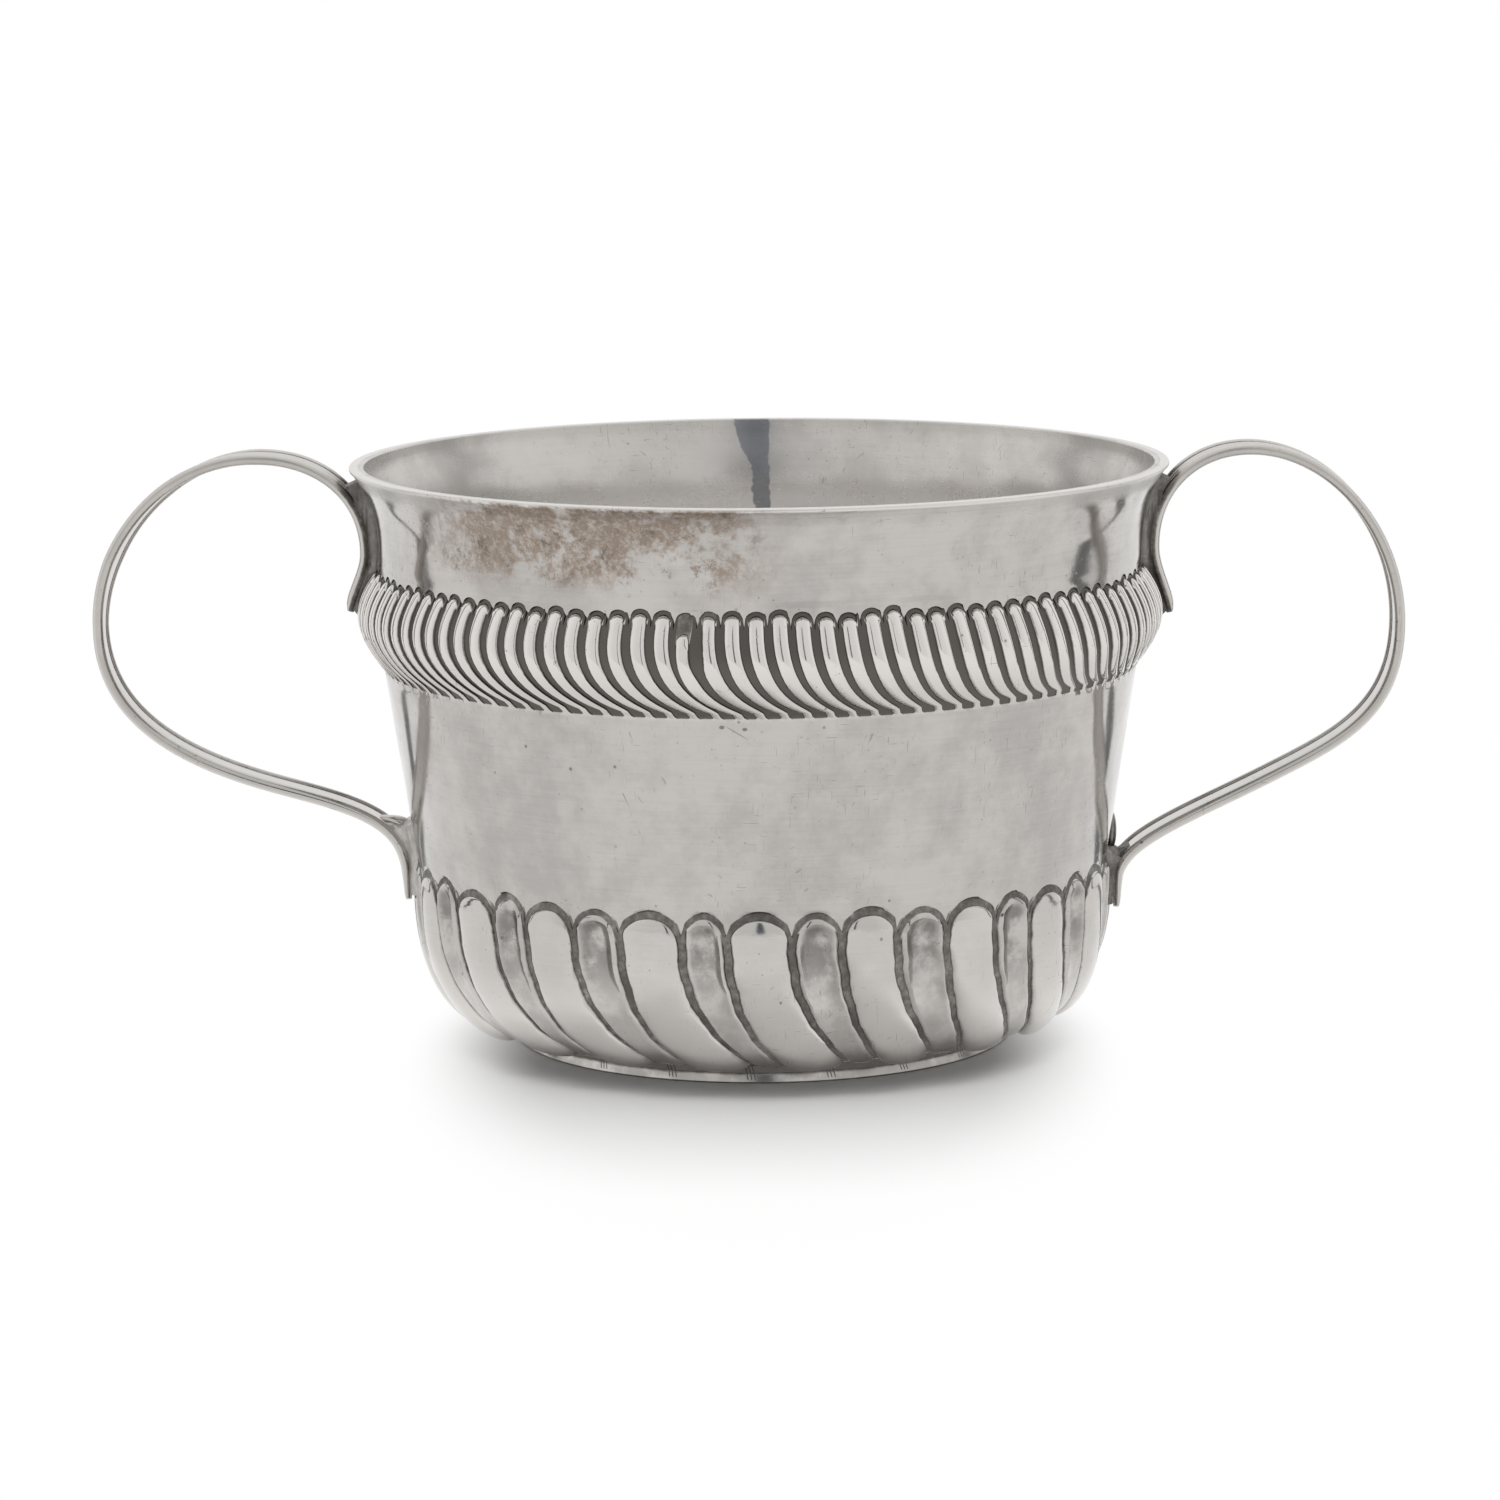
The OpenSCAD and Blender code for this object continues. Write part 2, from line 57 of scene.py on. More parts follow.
sheetTopR = cup["rimR"] - cup["lipW"]
bellyZ = cup["archTopZ"] - cup["bellyDrop"]
bellyOut = cup["bellyR"] - cup["baseR"]
bellyFall = bellyZ - cup["baseZ"]
bottomZ = cup["footH"] + cup["seatGap"]


def flareWall(z):
    # outside of the neck, on over the solder and the lip wire
    rise = np.maximum(0, z - neckZ) / (cup["height"] - cup["lipRound"] - neckZ)
    return cup["neckR"] + (cup["rimR"] - cup["neckR"]) * rise ** cup["flarePower"]


def neckWall(z):
    # the sheet itself, which stands straight behind the lip wire
    return np.minimum(flareWall(z), sheetTopR)


def sideWall(z):
    share = (z - cup["archTopZ"]) / (bandZ - cup["archTopZ"])
    return cup["wallFootR"] + (cup["wallTopR"] - cup["wallFootR"]) * share


def bandSwell(z):
    down = (cup["bandTopZ"] - z) / cup["bandH"]
    return cup["neckR"] + (cup["wallTopR"] - cup["neckR"]) * down + cup["bandRise"] * np.sin(np.pi * down)


def bellyAt(a):
    power = 2 / cup["bellyPower"]
    return cup["baseR"] + bellyOut * np.cos(a) ** power, bellyZ - bellyFall * np.sin(a) ** power


def onCup(r, angle, z):
    turn = np.radians(angle)
    r, turn, z = np.broadcast_arrays(r, turn, z)
    return np.stack((r * np.sin(turn), -r * np.cos(turn), z), axis=-1)


def dents(angle, z):
    turn = np.radians(angle)
    return cup["dent"] * sum(share * np.sin(waves * turn + lean * z + start)
                             for waves, lean, start, share in cup["hammer"])


def smooth(x):
    x = np.clip(x, 0, 1)
    return x * x * (3 - 2 * x)


def spinWire(name, wire, steps, closed):
    # a wire of (radius, height) points, turned once round the cup's axis
    bpy.ops.object.select_all(action="DESELECT")
    bpy.ops.mesh.primitive_circle_add(vertices=len(wire), fill_type="NOTHING")
    shell = bpy.context.object
    shell.name = name
    for vert, (r, z) in zip(shell.data.vertices, wire):
        vert.co = (0, -r * mm, z * mm)
    bpy.ops.object.mode_set(mode="EDIT")
    if not closed:
        bpy.ops.mesh.select_mode(type="EDGE")
        bpy.ops.mesh.select_all(action="DESELECT")
        bpy.ops.object.mode_set(mode="OBJECT")
        for edge in shell.data.edges:
            edge.select = set(edge.vertices) == {0, len(wire) - 1}
        bpy.ops.object.mode_set(mode="EDIT")
        bpy.ops.mesh.delete(type="EDGE")
        bpy.ops.mesh.select_mode(type="VERT")
    bpy.ops.mesh.select_all(action="SELECT")
    bpy.ops.mesh.spin(steps=steps, angle=2 * math.pi, center=(0, 0, 0), axis=(0, 0, 1), use_auto_merge=True)
    bpy.ops.object.mode_set(mode="OBJECT")
    return shell


def mark(mesh, name, values):
    marks = mesh.attributes.new(name, "FLOAT", "POINT")
    marks.data.foreach_set("value", np.asarray(values, float).ravel())


def chase(shell, points, recess, hollow=0, polishAndSheen=0):
    # moves a spun shell's points, listed by angle and then by row, and marks where dirt, tarnish, wear,
    # painted sheen and painted shade sit
    order = -np.arange(len(points)) % len(points)      # the spin runs against the angles
    shell.data.vertices.foreach_set("co", (points[order] * mm).ravel())
    for name, values in (("recess", recess), ("hollow", hollow), ("polishAndSheen", polishAndSheen)):
        mark(shell.data, name, np.broadcast_to(values, points.shape[:2])[order])
    shell.data.update()


def finishMesh(piece, angle=40):
    bpy.ops.object.select_all(action="DESELECT")
    piece.select_set(True)
    bpy.context.view_layer.objects.active = piece
    bpy.ops.object.mode_set(mode="EDIT")
    bpy.ops.mesh.select_all(action="SELECT")
    bpy.ops.mesh.remove_doubles(threshold=1e-6)
    bpy.ops.mesh.normals_make_consistent(inside=False)
    bpy.ops.object.mode_set(mode="OBJECT")
    bpy.ops.object.shade_smooth_by_angle(angle=math.radians(angle))
    return piece


# neck: plain sheet from the lip down to the arched tops of the gadroons
neck = dict(
    # plain sheet under the lip wire, and the height over which the dents set in
    columns=440, plain=0.9, settle=3,
    rows=[75.2, 74, 73.28, 73.26, 73.24, 72.8, 72.2, 71.5, 70.6, 69.4, 67.9, 66.4, 65, 64, 63.4],
)


def makeNeck():
    z = np.array(neck["rows"])
    angle = np.arange(neck["columns"])[:, None] * 360 / neck["columns"]
    r = neckWall(z) + dents(angle, z) * smooth((lipZ - neck["plain"] - z) / neck["settle"])
    shell = spinWire("neck", list(zip(neckWall(z), z)), neck["columns"], False)
    chase(shell, onCup(r, angle, z), 0)
    return shell


# gadroon band: round bars between flat dark channels, arched at the top, swept to the right at the foot
band = dict(
    count=110, start=3.55, sweep=6.2, sweepEase=2.7, hook=3.6, hookEase=9, hookStop=0.93, hookSlow=0.25,
    # columns across a channel and a bar, in half widths
    channel=[-0.62, -0.3, 0, 0.3, 0.62], bar=[-1, -0.88, -0.5, 0, 0.5, 0.88, 1],
    # half a channel's width, and its depth, by its fall
    falls=[0, 0.45, 0.6, 0.75, 0.85, 0.89, 0.91, 0.93, 0.98, 1],
    widths=[0.5, 0.5, 0.47, 0.43, 0.42, 0.48, 0.6, 0.82, 0.88, 0.6],
    depths=[0.45, 0.45, 0.43, 0.42, 0.4, 0.38, 0.36, 0.33, 0.24, 0.08],
    # the line over an arch, and the neck's sheet between two arches
    outline=0.55, lineDepth=0.2, cusps=[0.93, 0.6, -0.6, 0.6, 0.93],
    # rows over the arches, and over a bar's top: share of its rise, of its height and of its dirt
    topRow=0.6, lineRows=[0.2, 0, -0.1], channelTop=0.15,
    domes=[(1, 0, 1), (0.92, 0.45, 0.5), (0.75, 0.8, 0.08), (0.4, 0.97, 0)],
    # rows down a bar, and under the band
    fall=[0.04, 0.1, 0.17, 0.24, 0.31, 0.38, 0.45, 0.52, 0.59, 0.66, 0.73, 0.79, 0.84, 0.875, 0.905, 0.93,
          0.95, 0.965, 0.98, 0.99, 1],
    footRows=[0.35, 0.9], rowGap=0.03, barRound=2.4, domeRound=0.6,
    jitter=0.06, topJitter=0.16,
    brokenBar=-2, brokenDrop=1.9, brokenWide=0.25, brokenPinch=0.15, plateDark=0.62,
)


def sweepAt(t):
    # how far a gadroon has turned by its fall: an even sweep, and a hook at the foot
    t = np.minimum(t, band["hookStop"] + band["hookSlow"] * (t - band["hookStop"]))
    return band["sweep"] * t ** band["sweepEase"] + band["hook"] * t ** band["hookEase"]


def makeBand():
    count, pitch = band["count"], 360 / band["count"]
    across = len(band["channel"] + band["bar"])
    share = np.tile(np.array(band["channel"] + band["bar"], float), count)
    inChannel = np.tile(np.arange(across) < len(band["channel"]), count)
    bar = np.repeat(np.arange(count), across)
    broken = (bar == band["brokenBar"] % count) & ~inChannel
    after = bar == (band["brokenBar"] + 1) % count
    torn = (broken & (share > 0.6)) | (after & (inChannel | (share < -0.6)))
    plate = broken | after
    aside = rng.normal(0, band["jitter"], count)[bar]
    centre = band["start"] + bar * pitch + np.where(inChannel, -pitch / 2, aside)
    halfPitch = np.radians(pitch) * cup["neckR"] / 2
    half = halfPitch - band["widths"][0]
    outer = half + band["outline"]
    springZ = cup["bandTopZ"] - outer + rng.normal(0, band["topJitter"], count)[bar]
    barZ = springZ - band["brokenDrop"] * broken
    cusp = np.tile(np.array(band["cusps"] + [0] * len(band["bar"])), count)
    outlineZ = springZ + np.where(inChannel, cusp, np.sqrt(outer ** 2 - (share * half) ** 2))
    domeRise = np.where(inChannel, 0, half * np.sqrt(np.maximum(0, 1 - share ** 2)))
    rounded = np.where(inChannel, 0, np.sqrt(np.maximum(0, 1 - np.abs(share) ** band["barRound"])))
    flat = 0 * share

    # heights, each row under the one before it
    z = [flat + cup["bandTopZ"] + band["topRow"]] + [outlineZ + step for step in band["lineRows"]]
    channelTopZ = outlineZ - band["channelTop"]
    z += [np.where(inChannel, channelTopZ, barZ + dome * domeRise) for dome, _, _ in band["domes"]]
    z += [barZ + (bandZ - barZ) * t for t in band["fall"]]
    z += [flat + bandZ - step for step in band["footRows"]]
    for above, below in zip(z, z[1:]):
        np.minimum(below, above - band["rowGap"], out=below)
    z = np.array(z)
    upper = 4 + len(band["domes"])
    t = np.concatenate(([0] * upper, band["fall"], [1, 1]))[:, None]
    width = np.interp(t, band["falls"], band["widths"])
    # the torn channel is wide at its top and pinched below
    wider = band["brokenWide"] * (1 - smooth((t - 0.3) / 0.15))
    width = width + torn * (wider - band["brokenPinch"] * smooth((t - 0.4) / 0.1))
    wide = np.where(t > 0, np.radians(pitch) * bandSwell(z) / 2, halfPitch) - width
    crest = bandSwell(np.minimum(z, cup["bandTopZ"]))
    low = crest - np.interp(t, band["falls"], band["depths"]) * smooth(0.45 + (cup["bandTopZ"] - z) / 1.5)
    lift = np.array([flat] * 4 + [high * rounded ** band["domeRound"] for _, high, _ in band["domes"]]
                    + [rounded] * len(band["fall"]) + [flat] * 2)
    r = low + (crest - low) * lift
    r[:3] = cup["neckR"]
    r[3] = cup["neckR"] - band["lineDepth"]
    r[-2:] = sideWall(z[-2:])
    side = np.where(inChannel | (np.abs(share) > 0.95), 1, np.where(np.abs(share) > 0.7, 0.35, 0))
    outlineDark = np.where(plate, band["plateDark"], 1)
    recess = [flat, flat, flat + 0.2, outlineDark]
    recess += [np.where(inChannel, outlineDark, dark * outlineDark) for _, _, dark in band["domes"]]
    recess += [side * (1 - 0.8 * smooth((fall - 0.985) / 0.015)) for fall in band["fall"]]
    recess += [flat + 0.1, flat]
    # painted sheen: bars are lighter towards their tops and less so down their fall, partly wear, partly a
    # painted highlight
    wornAndSheen = [flat] * 5 + [1 - inChannel] * (len(band["domes"]) - 1)
    wornAndSheen += [(1 - inChannel) * (1 - 0.7 * smooth((fall - 0.35) / 0.6)) for fall in band["fall"]] + [flat] * 2
    angle = centre + sweepAt(t) - sweepAt(1) + np.degrees(share * np.where(inChannel, width, wide) / r)
    shell = spinWire("band", list(zip(r[:, 0], z[:, 0])), len(bar), False)
    chase(shell, onCup(r.T, angle.T, z.T), np.array(recess).T, 0, np.array(wornAndSheen, float).T)
    return shell


# plain wall between the band and the lobes
wall = dict(columns=220, rows=18, top=1.6, foot=2.6)


def makeWall():
    z = np.linspace(bandZ - wall["top"], cup["archTopZ"] + wall["foot"], wall["rows"])
    angle = np.arange(wall["columns"])[:, None] * 360 / wall["columns"]
    ends = smooth((bandZ - z) / 4 - 0.2) * smooth((z - cup["archTopZ"]) / 4 - 0.4)
    r = sideWall(z) + dents(angle, z) * ends
    shell = spinWire("wall", list(zip(sideWall(z), z)), wall["columns"], False)
    chase(shell, onCup(r, angle, z), 0)
    return shell


# lobes and flutes: arched at the top, turning to the right on their way down to the base
lobes = dict(
    pairs=20, lobeShare=0.56, start=-0.6, jitter=0.35, spiral=11.5, spiralEase=2.6, endAngle=79,
    groove=0.46, grooveLow=0.34,             # half the chased line's width
    widen=1.0,                               # how far the lobes spread lower down
    depthTop=0.45, depth=0.95, depthEnd=1.2, fullness=2.2, wander=0.11, dirt=0.68,
    outerDrop=3.2, lobeTop=1.05, fluteTop=0.85, innerDrop=3.0, footDrop=3.4,
    fluteAt=[0, 5, 12, 22, 25.5], fluteLow=[0.3, 0.35, 0.5, 0.8, 0.9],  # how low a flute lies, by its length
    trough=1.1, troughRim=0.8, lobeColumns=15, fluteColumns=14, evenFrom=8.2, evenRows=26,
)


def bellyProfile():
    # crest line of the lobes by its length from the arched tops
    z = np.linspace(cup["archTopZ"] + 3, bellyZ, 120, endpoint=False)
    lift = np.clip((cup["archTopZ"] - z) / cup["bellyDrop"], 0, 1)
    r = sideWall(np.maximum(z, cup["archTopZ"]))
    r = r + (cup["bellyR"] - cup["wallFootR"]) * np.sin(np.pi / 2 * lift)
    a = np.radians(np.linspace(0, 86, 500))
    bellyR, bellyHeight = bellyAt(a)
    r, z = np.concatenate((r, bellyR)), np.concatenate((z, bellyHeight))
    s = np.concatenate(([0], np.cumsum(np.hypot(np.diff(r), np.diff(z)))))
    s -= np.interp(-cup["archTopZ"], -z, s)
    out = np.stack((-np.gradient(z, s), np.gradient(r, s)))
    out /= np.hypot(*out)
    endZ = bellyAt(np.radians(lobes["endAngle"]))[1]
    return s, r, z, out, np.interp(-endZ, -z, s)


def spiralAt(z):
    return lobes["spiral"] * np.maximum(0, (bellyZ - z) / bellyFall) ** lobes["spiralEase"]


def makeLobes():
    s, r, z, out, endS = bellyProfile()
    pairs, pitch = lobes["pairs"], 360 / lobes["pairs"]
    lobeShares = np.sin(np.linspace(-1, 1, lobes["lobeColumns"]) * np.pi / 2.3) / math.sin(np.pi / 2.3)
    fluteShares = np.sin(np.linspace(-1, 1, lobes["fluteColumns"]) * np.pi / 2.6) / math.sin(np.pi / 2.6)
    share = np.tile(np.concatenate(([-1], lobeShares, [-1], fluteShares)), pairs)
    column = np.tile(np.arange(len(share) // pairs), pairs)
    pair = np.repeat(np.arange(pairs), len(share) // pairs)
    isLobe = column <= lobes["lobeColumns"]
    inGroove = (column == 0) | (column == lobes["lobeColumns"] + 1)
    lines = np.arange(pairs)[:, None] * pitch + np.array([-0.5, 0.5]) * pitch * lobes["lobeShare"]
    lines = lines.ravel() + lobes["start"] + rng.normal(0, lobes["jitter"], 2 * pairs)
    unit = 2 * pair + ~isLobe
    left, right = lines[unit], np.append(lines[1:], lines[0] + 360)[unit]
    rise = rng.normal(0, 0.18, 2 * pairs)[unit]
    phases = rng.uniform(0, 2 * np.pi, 2 * pairs)
    leftPhase, rightPhase = phases[unit], np.roll(phases, -1)[unit]
    spread = np.where(isLobe, 1, -1)
    lineShare = 2 * np.degrees(lobes["groove"] / cup["bellyR"]) / (right - left)
    spot = np.where(inGroove, 1, np.abs(share) * (1 - lineShare))
    outerS = lobes["outerDrop"] * (1 - np.sqrt(np.maximum(0, 1 - spot ** 2))) - rise
    innerTop = np.where(isLobe, lobes["lobeTop"], lobes["fluteTop"]) - rise
    innerS = innerTop + lobes["innerDrop"] * (1 - np.sqrt(np.maximum(0, 1 - share ** 2)))
    innerS = np.maximum(innerS, outerS + 0.3)
    springS = innerTop + lobes["innerDrop"]
    footS = endS - lobes["footDrop"]
    rows = []

    def wander(phase, length):
        # the chaser's hand
        return lobes["wander"] * (np.sin(1.3 * length + phase) + 0.6 * np.sin(3.1 * length + 2 * phase))

    def addRow(length, surface):
        # surface: the wall above the arches, the floor of the chased line, or the form of lobe and flute
        baseZ, baseR = np.interp(length, s, z), np.interp(length, s, r)
        nr, nz = np.interp(length, s, out[0]), np.interp(length, s, out[1])
        depth = lobes["depthTop"] + (lobes["depth"] - lobes["depthTop"]) * smooth(length / 6)
        depth = depth + (lobes["depthEnd"] - lobes["depth"]) * smooth((length - endS + 7) / 6)
        up = np.clip((springS - length) / lobes["innerDrop"], 0, None)
        down = np.clip((length - footS) / lobes["footDrop"], 0, None)
        q = np.sqrt(share ** 2 + np.maximum(up, down) ** 2)
        lobeH = -depth * (1 - np.sqrt(np.maximum(0, 1 - np.minimum(q, 1) ** lobes["fullness"])))
        dish = lobes["trough"] * smooth((16 - length) / 8) * smooth((length - 1.2) / 1.5)
        inTrough = np.clip(1 - (q / lobes["troughRim"]) ** 2.2, 0, 1)
        level = np.interp(length, lobes["fluteAt"], lobes["fluteLow"]) + dish * inTrough
        side = smooth((q - 0.86) / 0.14)
        fluteH = -(level * (1 - side) + depth * side)
        floor = inGroove | (q >= 1) | (surface == "floor")
        height = np.where(floor, -depth, np.where(isLobe, lobeH, fluteH))
        fade = 1 - 0.9 * smooth((length - 18) / 6)
        dark = np.where(floor, fade, np.where(q > 0.965, 0.85 * fade, np.where(q > 0.9, 0.12 * fade, 0)))
        recess = np.where((length > footS) & (q >= 1), 0.15, lobes["dirt"] * dark)
        # painted light: lobes are lighter, partly wear on their crests and partly a painted highlight, and
        # lobes and flutes are painted lighter towards the bottom as a painted reflection of the bright table
        wornAndSheen = np.where(floor, 0, 0.3 * isLobe + 0.5 * smooth((length - 8) / 12))
        tarnished = np.minimum(1, 2.2 * inTrough) * (1 - 0.75 * smooth((length - 4) / 9))
        hollow = np.where(isLobe | floor, 0, tarnished)
        if surface == "wall":
            baseZ = cup["archTopZ"] - length
            baseR, height, recess, hollow, wornAndSheen = sideWall(baseZ), 0, flat, flat, flat
        widen = spread * lobes["widen"] * smooth(((bellyZ - baseZ) / bellyFall - 0.3) / 0.65)
        low, high = left - widen + wander(leftPhase, length), right + widen + wander(rightPhase, length)
        groove = lobes["groove"] + (lobes["grooveLow"] - lobes["groove"]) * smooth((length - 8) / 12)
        edge = (high - low) / 2 - np.degrees(groove / cup["bellyR"])
        angle = np.where(inGroove, low, (low + high) / 2 + share * edge) + spiralAt(baseZ)
        rows.append((baseR + nr * height, angle, baseZ + nz * height, recess, hollow, wornAndSheen))

    flat = 0 * share
    addRow(flat - 2.0, "wall")
    addRow(outerS * 0.5 - 0.9, "wall")
    addRow(outerS - 0.3, "wall")
    addRow(outerS, "wall")
    addRow(outerS + 0.14, "floor")
    addRow(innerS, "floor")
    for step in (0.12, 0.35, 0.75, 1.4):
        addRow(innerS + step, "form")
    for mix in (0.25, 0.5, 0.75):
        addRow((innerS + 1.4) * (1 - mix) + lobes["evenFrom"] * mix, "form")
    for length in np.linspace(lobes["evenFrom"], endS + 0.3, lobes["evenRows"]):
        addRow(flat + length, "form")
    rowRadii, angle, rowHeights, recess, hollow, wornAndSheen = (np.array(part).T for part in zip(*rows))
    shell = spinWire("lobes", list(zip(rowRadii[0], rowHeights[0])), len(share), False)
    chase(shell, onCup(rowRadii, angle, rowHeights), recess, hollow, wornAndSheen)
    return shell


# base: the narrow plain band under the lobes, and the underside, painted lighter by its wear share: a painted
# lift of their shade
base = dict(
    columns=220, drop=1.15, past=0.9, edgeR=32.33, wear=0.8,
    collar=[(34.3, 2.75), (33.0, 2.6), (32.55, 2.3), (32.4, 1.8)], underside=[29, 20, 10, 0],
)


def makeBase():
    s, r, z, out, endS = bellyProfile()
    length = endS + base["past"]
    startR = np.interp(length, s, r) - base["drop"] * np.interp(length, s, out[0])
    startZ = np.interp(length, s, z) - base["drop"] * np.interp(length, s, out[1])
    wire = [(startR, startZ)] + base["collar"] + [(base["edgeR"], bottomZ)]
    for radius in base["underside"]:
        wire.append((radius, bottomZ + cup["bottomDome"] * (1 - (radius / base["underside"][0]) ** 2)))
    rowRadii, rowHeights = np.array(wire).T
    angle = np.arange(base["columns"])[:, None] * 360 / base["columns"]
    shell = spinWire("base", wire, base["columns"], False)
    chase(shell, onCup(rowRadii, angle, rowHeights), 0, 0, base["wear"])
    return shell


# inside: the chasing shows through the sheet, softened
inside = dict(
    columns=440, ripple=0.12, swellLess=0.9, lobeDip=0.8, fluteDip=0.7, evenDip=0.55,
    edge=[(0.45, 0), (0.6, 0.03), (0.68, 0.1)],              # the worn inner edge of the lip: inward and down
    neckRows=[75, 74, 72.6, 71.2, 69.8, 68.4, 67, 65.6, 64.2, 63],
    bandRows=13, wallTopZ=47.5, wallRows=5, lobeRows=13,
    # radius and height over the bottom
    floor=[(34, 1.5), (31.5, 1.3), (27, 0.8), (20, 0.7), (10, 0.75), (0, 0.8)],
)


def makeInside():
    s, r, z, out, endS = bellyProfile()
    columns = inside["columns"]
    angle0 = np.arange(columns) * 360 / columns
    pitch = 360 / lobes["pairs"]
    gadroonWave = np.cos(np.radians(angle0 * band["count"]))
    phase = (angle0 / pitch + 0.5) % 1 - 0.5
    lobeHalf = lobes["lobeShare"] / 2
    onLobe = np.abs(phase) < lobeHalf
    beside = (0.5 - np.abs(phase)) / (0.5 - lobeHalf)
    lobeRelief = inside["lobeDip"] * (phase / lobeHalf) ** 2
    fluteRelief = inside["lobeDip"] + inside["fluteDip"] * (1 - np.minimum(beside, 1) ** 2)
    relief = -np.where(onLobe, lobeRelief, fluteRelief)
    rows = []

    def addRow(radius, height, turn):
        rows.append((radius + 0 * angle0, angle0 + turn, height + 0 * angle0))

    wallT = cup["wallT"]
    addRow(neckWall(cup["height"]), cup["height"], 0)                   # the neck's own top edge
    for inward, down in inside["edge"]:
        addRow(neckWall(cup["height"]) - inward, cup["height"] - down, 0)
    for rowZ in inside["neckRows"]:
        radius = neckWall(rowZ) - wallT + dents(angle0, rowZ) * smooth((lipZ - rowZ) / neck["settle"])
        addRow(radius, rowZ, -sweepAt(1) * smooth((lipZ - rowZ) / 8))
    for t in np.linspace(0.08, 0.96, inside["bandRows"]):
        rowZ = cup["bandTopZ"] - cup["bandH"] * t
        swell = bandSwell(rowZ) - inside["swellLess"] * smooth(t * 6)
        soft = inside["ripple"] * math.sin(math.pi * t)
        addRow(swell - wallT + soft * gadroonWave, rowZ, sweepAt(t) - sweepAt(1))
    for rowZ in np.linspace(inside["wallTopZ"], cup["archTopZ"] + 0.5, inside["wallRows"]):
        addRow(sideWall(rowZ) - wallT + dents(angle0, rowZ), rowZ, 0)
    for length in np.linspace(1.2, endS - 1.5, inside["lobeRows"]):
        soft = smooth(length / 5) * smooth((endS - length) / 5)
        height = relief * soft - inside["evenDip"] * (1 - soft) - wallT
        baseZ = np.interp(length, s, z)
        nr, nz = np.interp(length, s, out[0]), np.interp(length, s, out[1])
        addRow(np.interp(length, s, r) + nr * height, baseZ + nz * height, spiralAt(baseZ))
    floorZ = bottomZ + wallT
    for radius, up in inside["floor"]:
        addRow(radius, floorZ + up, lobes["spiral"])
    rowRadii, angle, rowHeights = (np.array(part).T for part in zip(*rows))
    shell = spinWire("inside", list(zip(rowRadii[0], rowHeights[0])), columns, False)
    chase(shell, onCup(rowRadii, angle, rowHeights), 0)
    mark(shell.data, "inner", np.ones(rowRadii.shape))
    return shell


def joinBowl():
    shells = [makeNeck(), makeBand(), makeWall(), makeLobes(), makeBase(), makeInside()]
    bandColumns = band["count"] * len(band["channel"] + band["bar"])
    lobeColumns = lobes["pairs"] * (lobes["lobeColumns"] + lobes["fluteColumns"] + 2)
    counts = [neck["columns"], bandColumns, wall["columns"], lobeColumns, base["columns"], inside["columns"]]
    sizes = [len(shell.data.vertices) // count for shell, count in zip(shells, counts)]
    starts = np.concatenate(([0], np.cumsum([size * count for size, count in zip(sizes, counts)])))
    bowl = shells[0]
    for shell in shells[1:]:
        bpy.ops.object.select_all(action="DESELECT")
        shell.select_set(True)
        bowl.select_set(True)
        bpy.context.view_layer.objects.active = bowl
        bpy.ops.object.join()

    def loopOf(k, row):
        return starts[k] + np.arange(counts[k]) * sizes[k] + row % sizes[k]

    seams = [((0, -1), (1, 0)), ((1, -1), (2, 0)), ((2, -1), (3, 0)), ((3, -1), (4, 0))]
    for low, high in seams:
        label = np.zeros(len(bowl.data.vertices), int)
        label[loopOf(*low)] = 1
        label[loopOf(*high)] = 2
        ends = np.zeros(2 * len(bowl.data.edges), int)
        bowl.data.edges.foreach_get("vertices", ends)
        ends = label[ends.reshape(-1, 2)]
        bpy.ops.object.mode_set(mode="EDIT")
        bpy.ops.mesh.select_mode(type="EDGE")
        bpy.ops.mesh.select_all(action="DESELECT")
        bpy.ops.object.mode_set(mode="OBJECT")
        bowl.data.edges.foreach_set("select", (ends[:, 0] == ends[:, 1]) & (ends[:, 0] > 0))
        bpy.ops.object.mode_set(mode="EDIT")
        bpy.ops.mesh.bridge_edge_loops()
        bpy.ops.object.mode_set(mode="OBJECT")
    bowl.name = "chasedBowl"
    return finishMesh(bowl)


bowl = joinBowl()
print("bowl:", len(bowl.data.polygons), "faces")


# lip wire, its solder line and the foot ring: closed sections, spun
rings = dict(
    columns=288, wear=0.012, flareLean=-39, lipRows=[0, 0.2, 0.4, 0.6], lipWear=[0, 0, 0, 0.2],
    solderRows=[0.73, 0.4, 0.2, 0.01], overlap=0.02,         # the solder line's rows, down from the lip wire
    # the foot ring's grime is partly painted shadow under the lobes' ends, and its tarnish is painted shade
    footSeat=0.03, footGrimeAndShadow=[0, 0, 0.7, 0.25], footShade=0.45,
)


def makeRing(name, section, dark=0, hollow=0, polishAndSheen=0):
    # the section is a list of (radius, height), with the dirt, tarnish and wear at each of its points; on the
    # foot ring the dirt and tarnish are partly painted shade, and on the lip wire the wear is partly a
    # painted highlight
    r, z = np.array(section).T
    angle = np.arange(rings["columns"])[:, None] * 360 / rings["columns"]
    turn = np.radians(angle)
    wear = rings["wear"] * (2 + 0.6 * np.sin(5 * turn + 1) + 0.4 * np.sin(13 * turn)) / 3
    shell = spinWire(name, section, rings["columns"], True)
    chase(shell, onCup(r - wear, angle, z), dark, hollow, polishAndSheen)
    return finishMesh(shell, 40)


def arcOf(r, z, radius, first, last):
    turns = np.radians(np.linspace(first, last, 8))
    return [(r + radius * math.cos(a), z + radius * math.sin(a)) for a in turns]


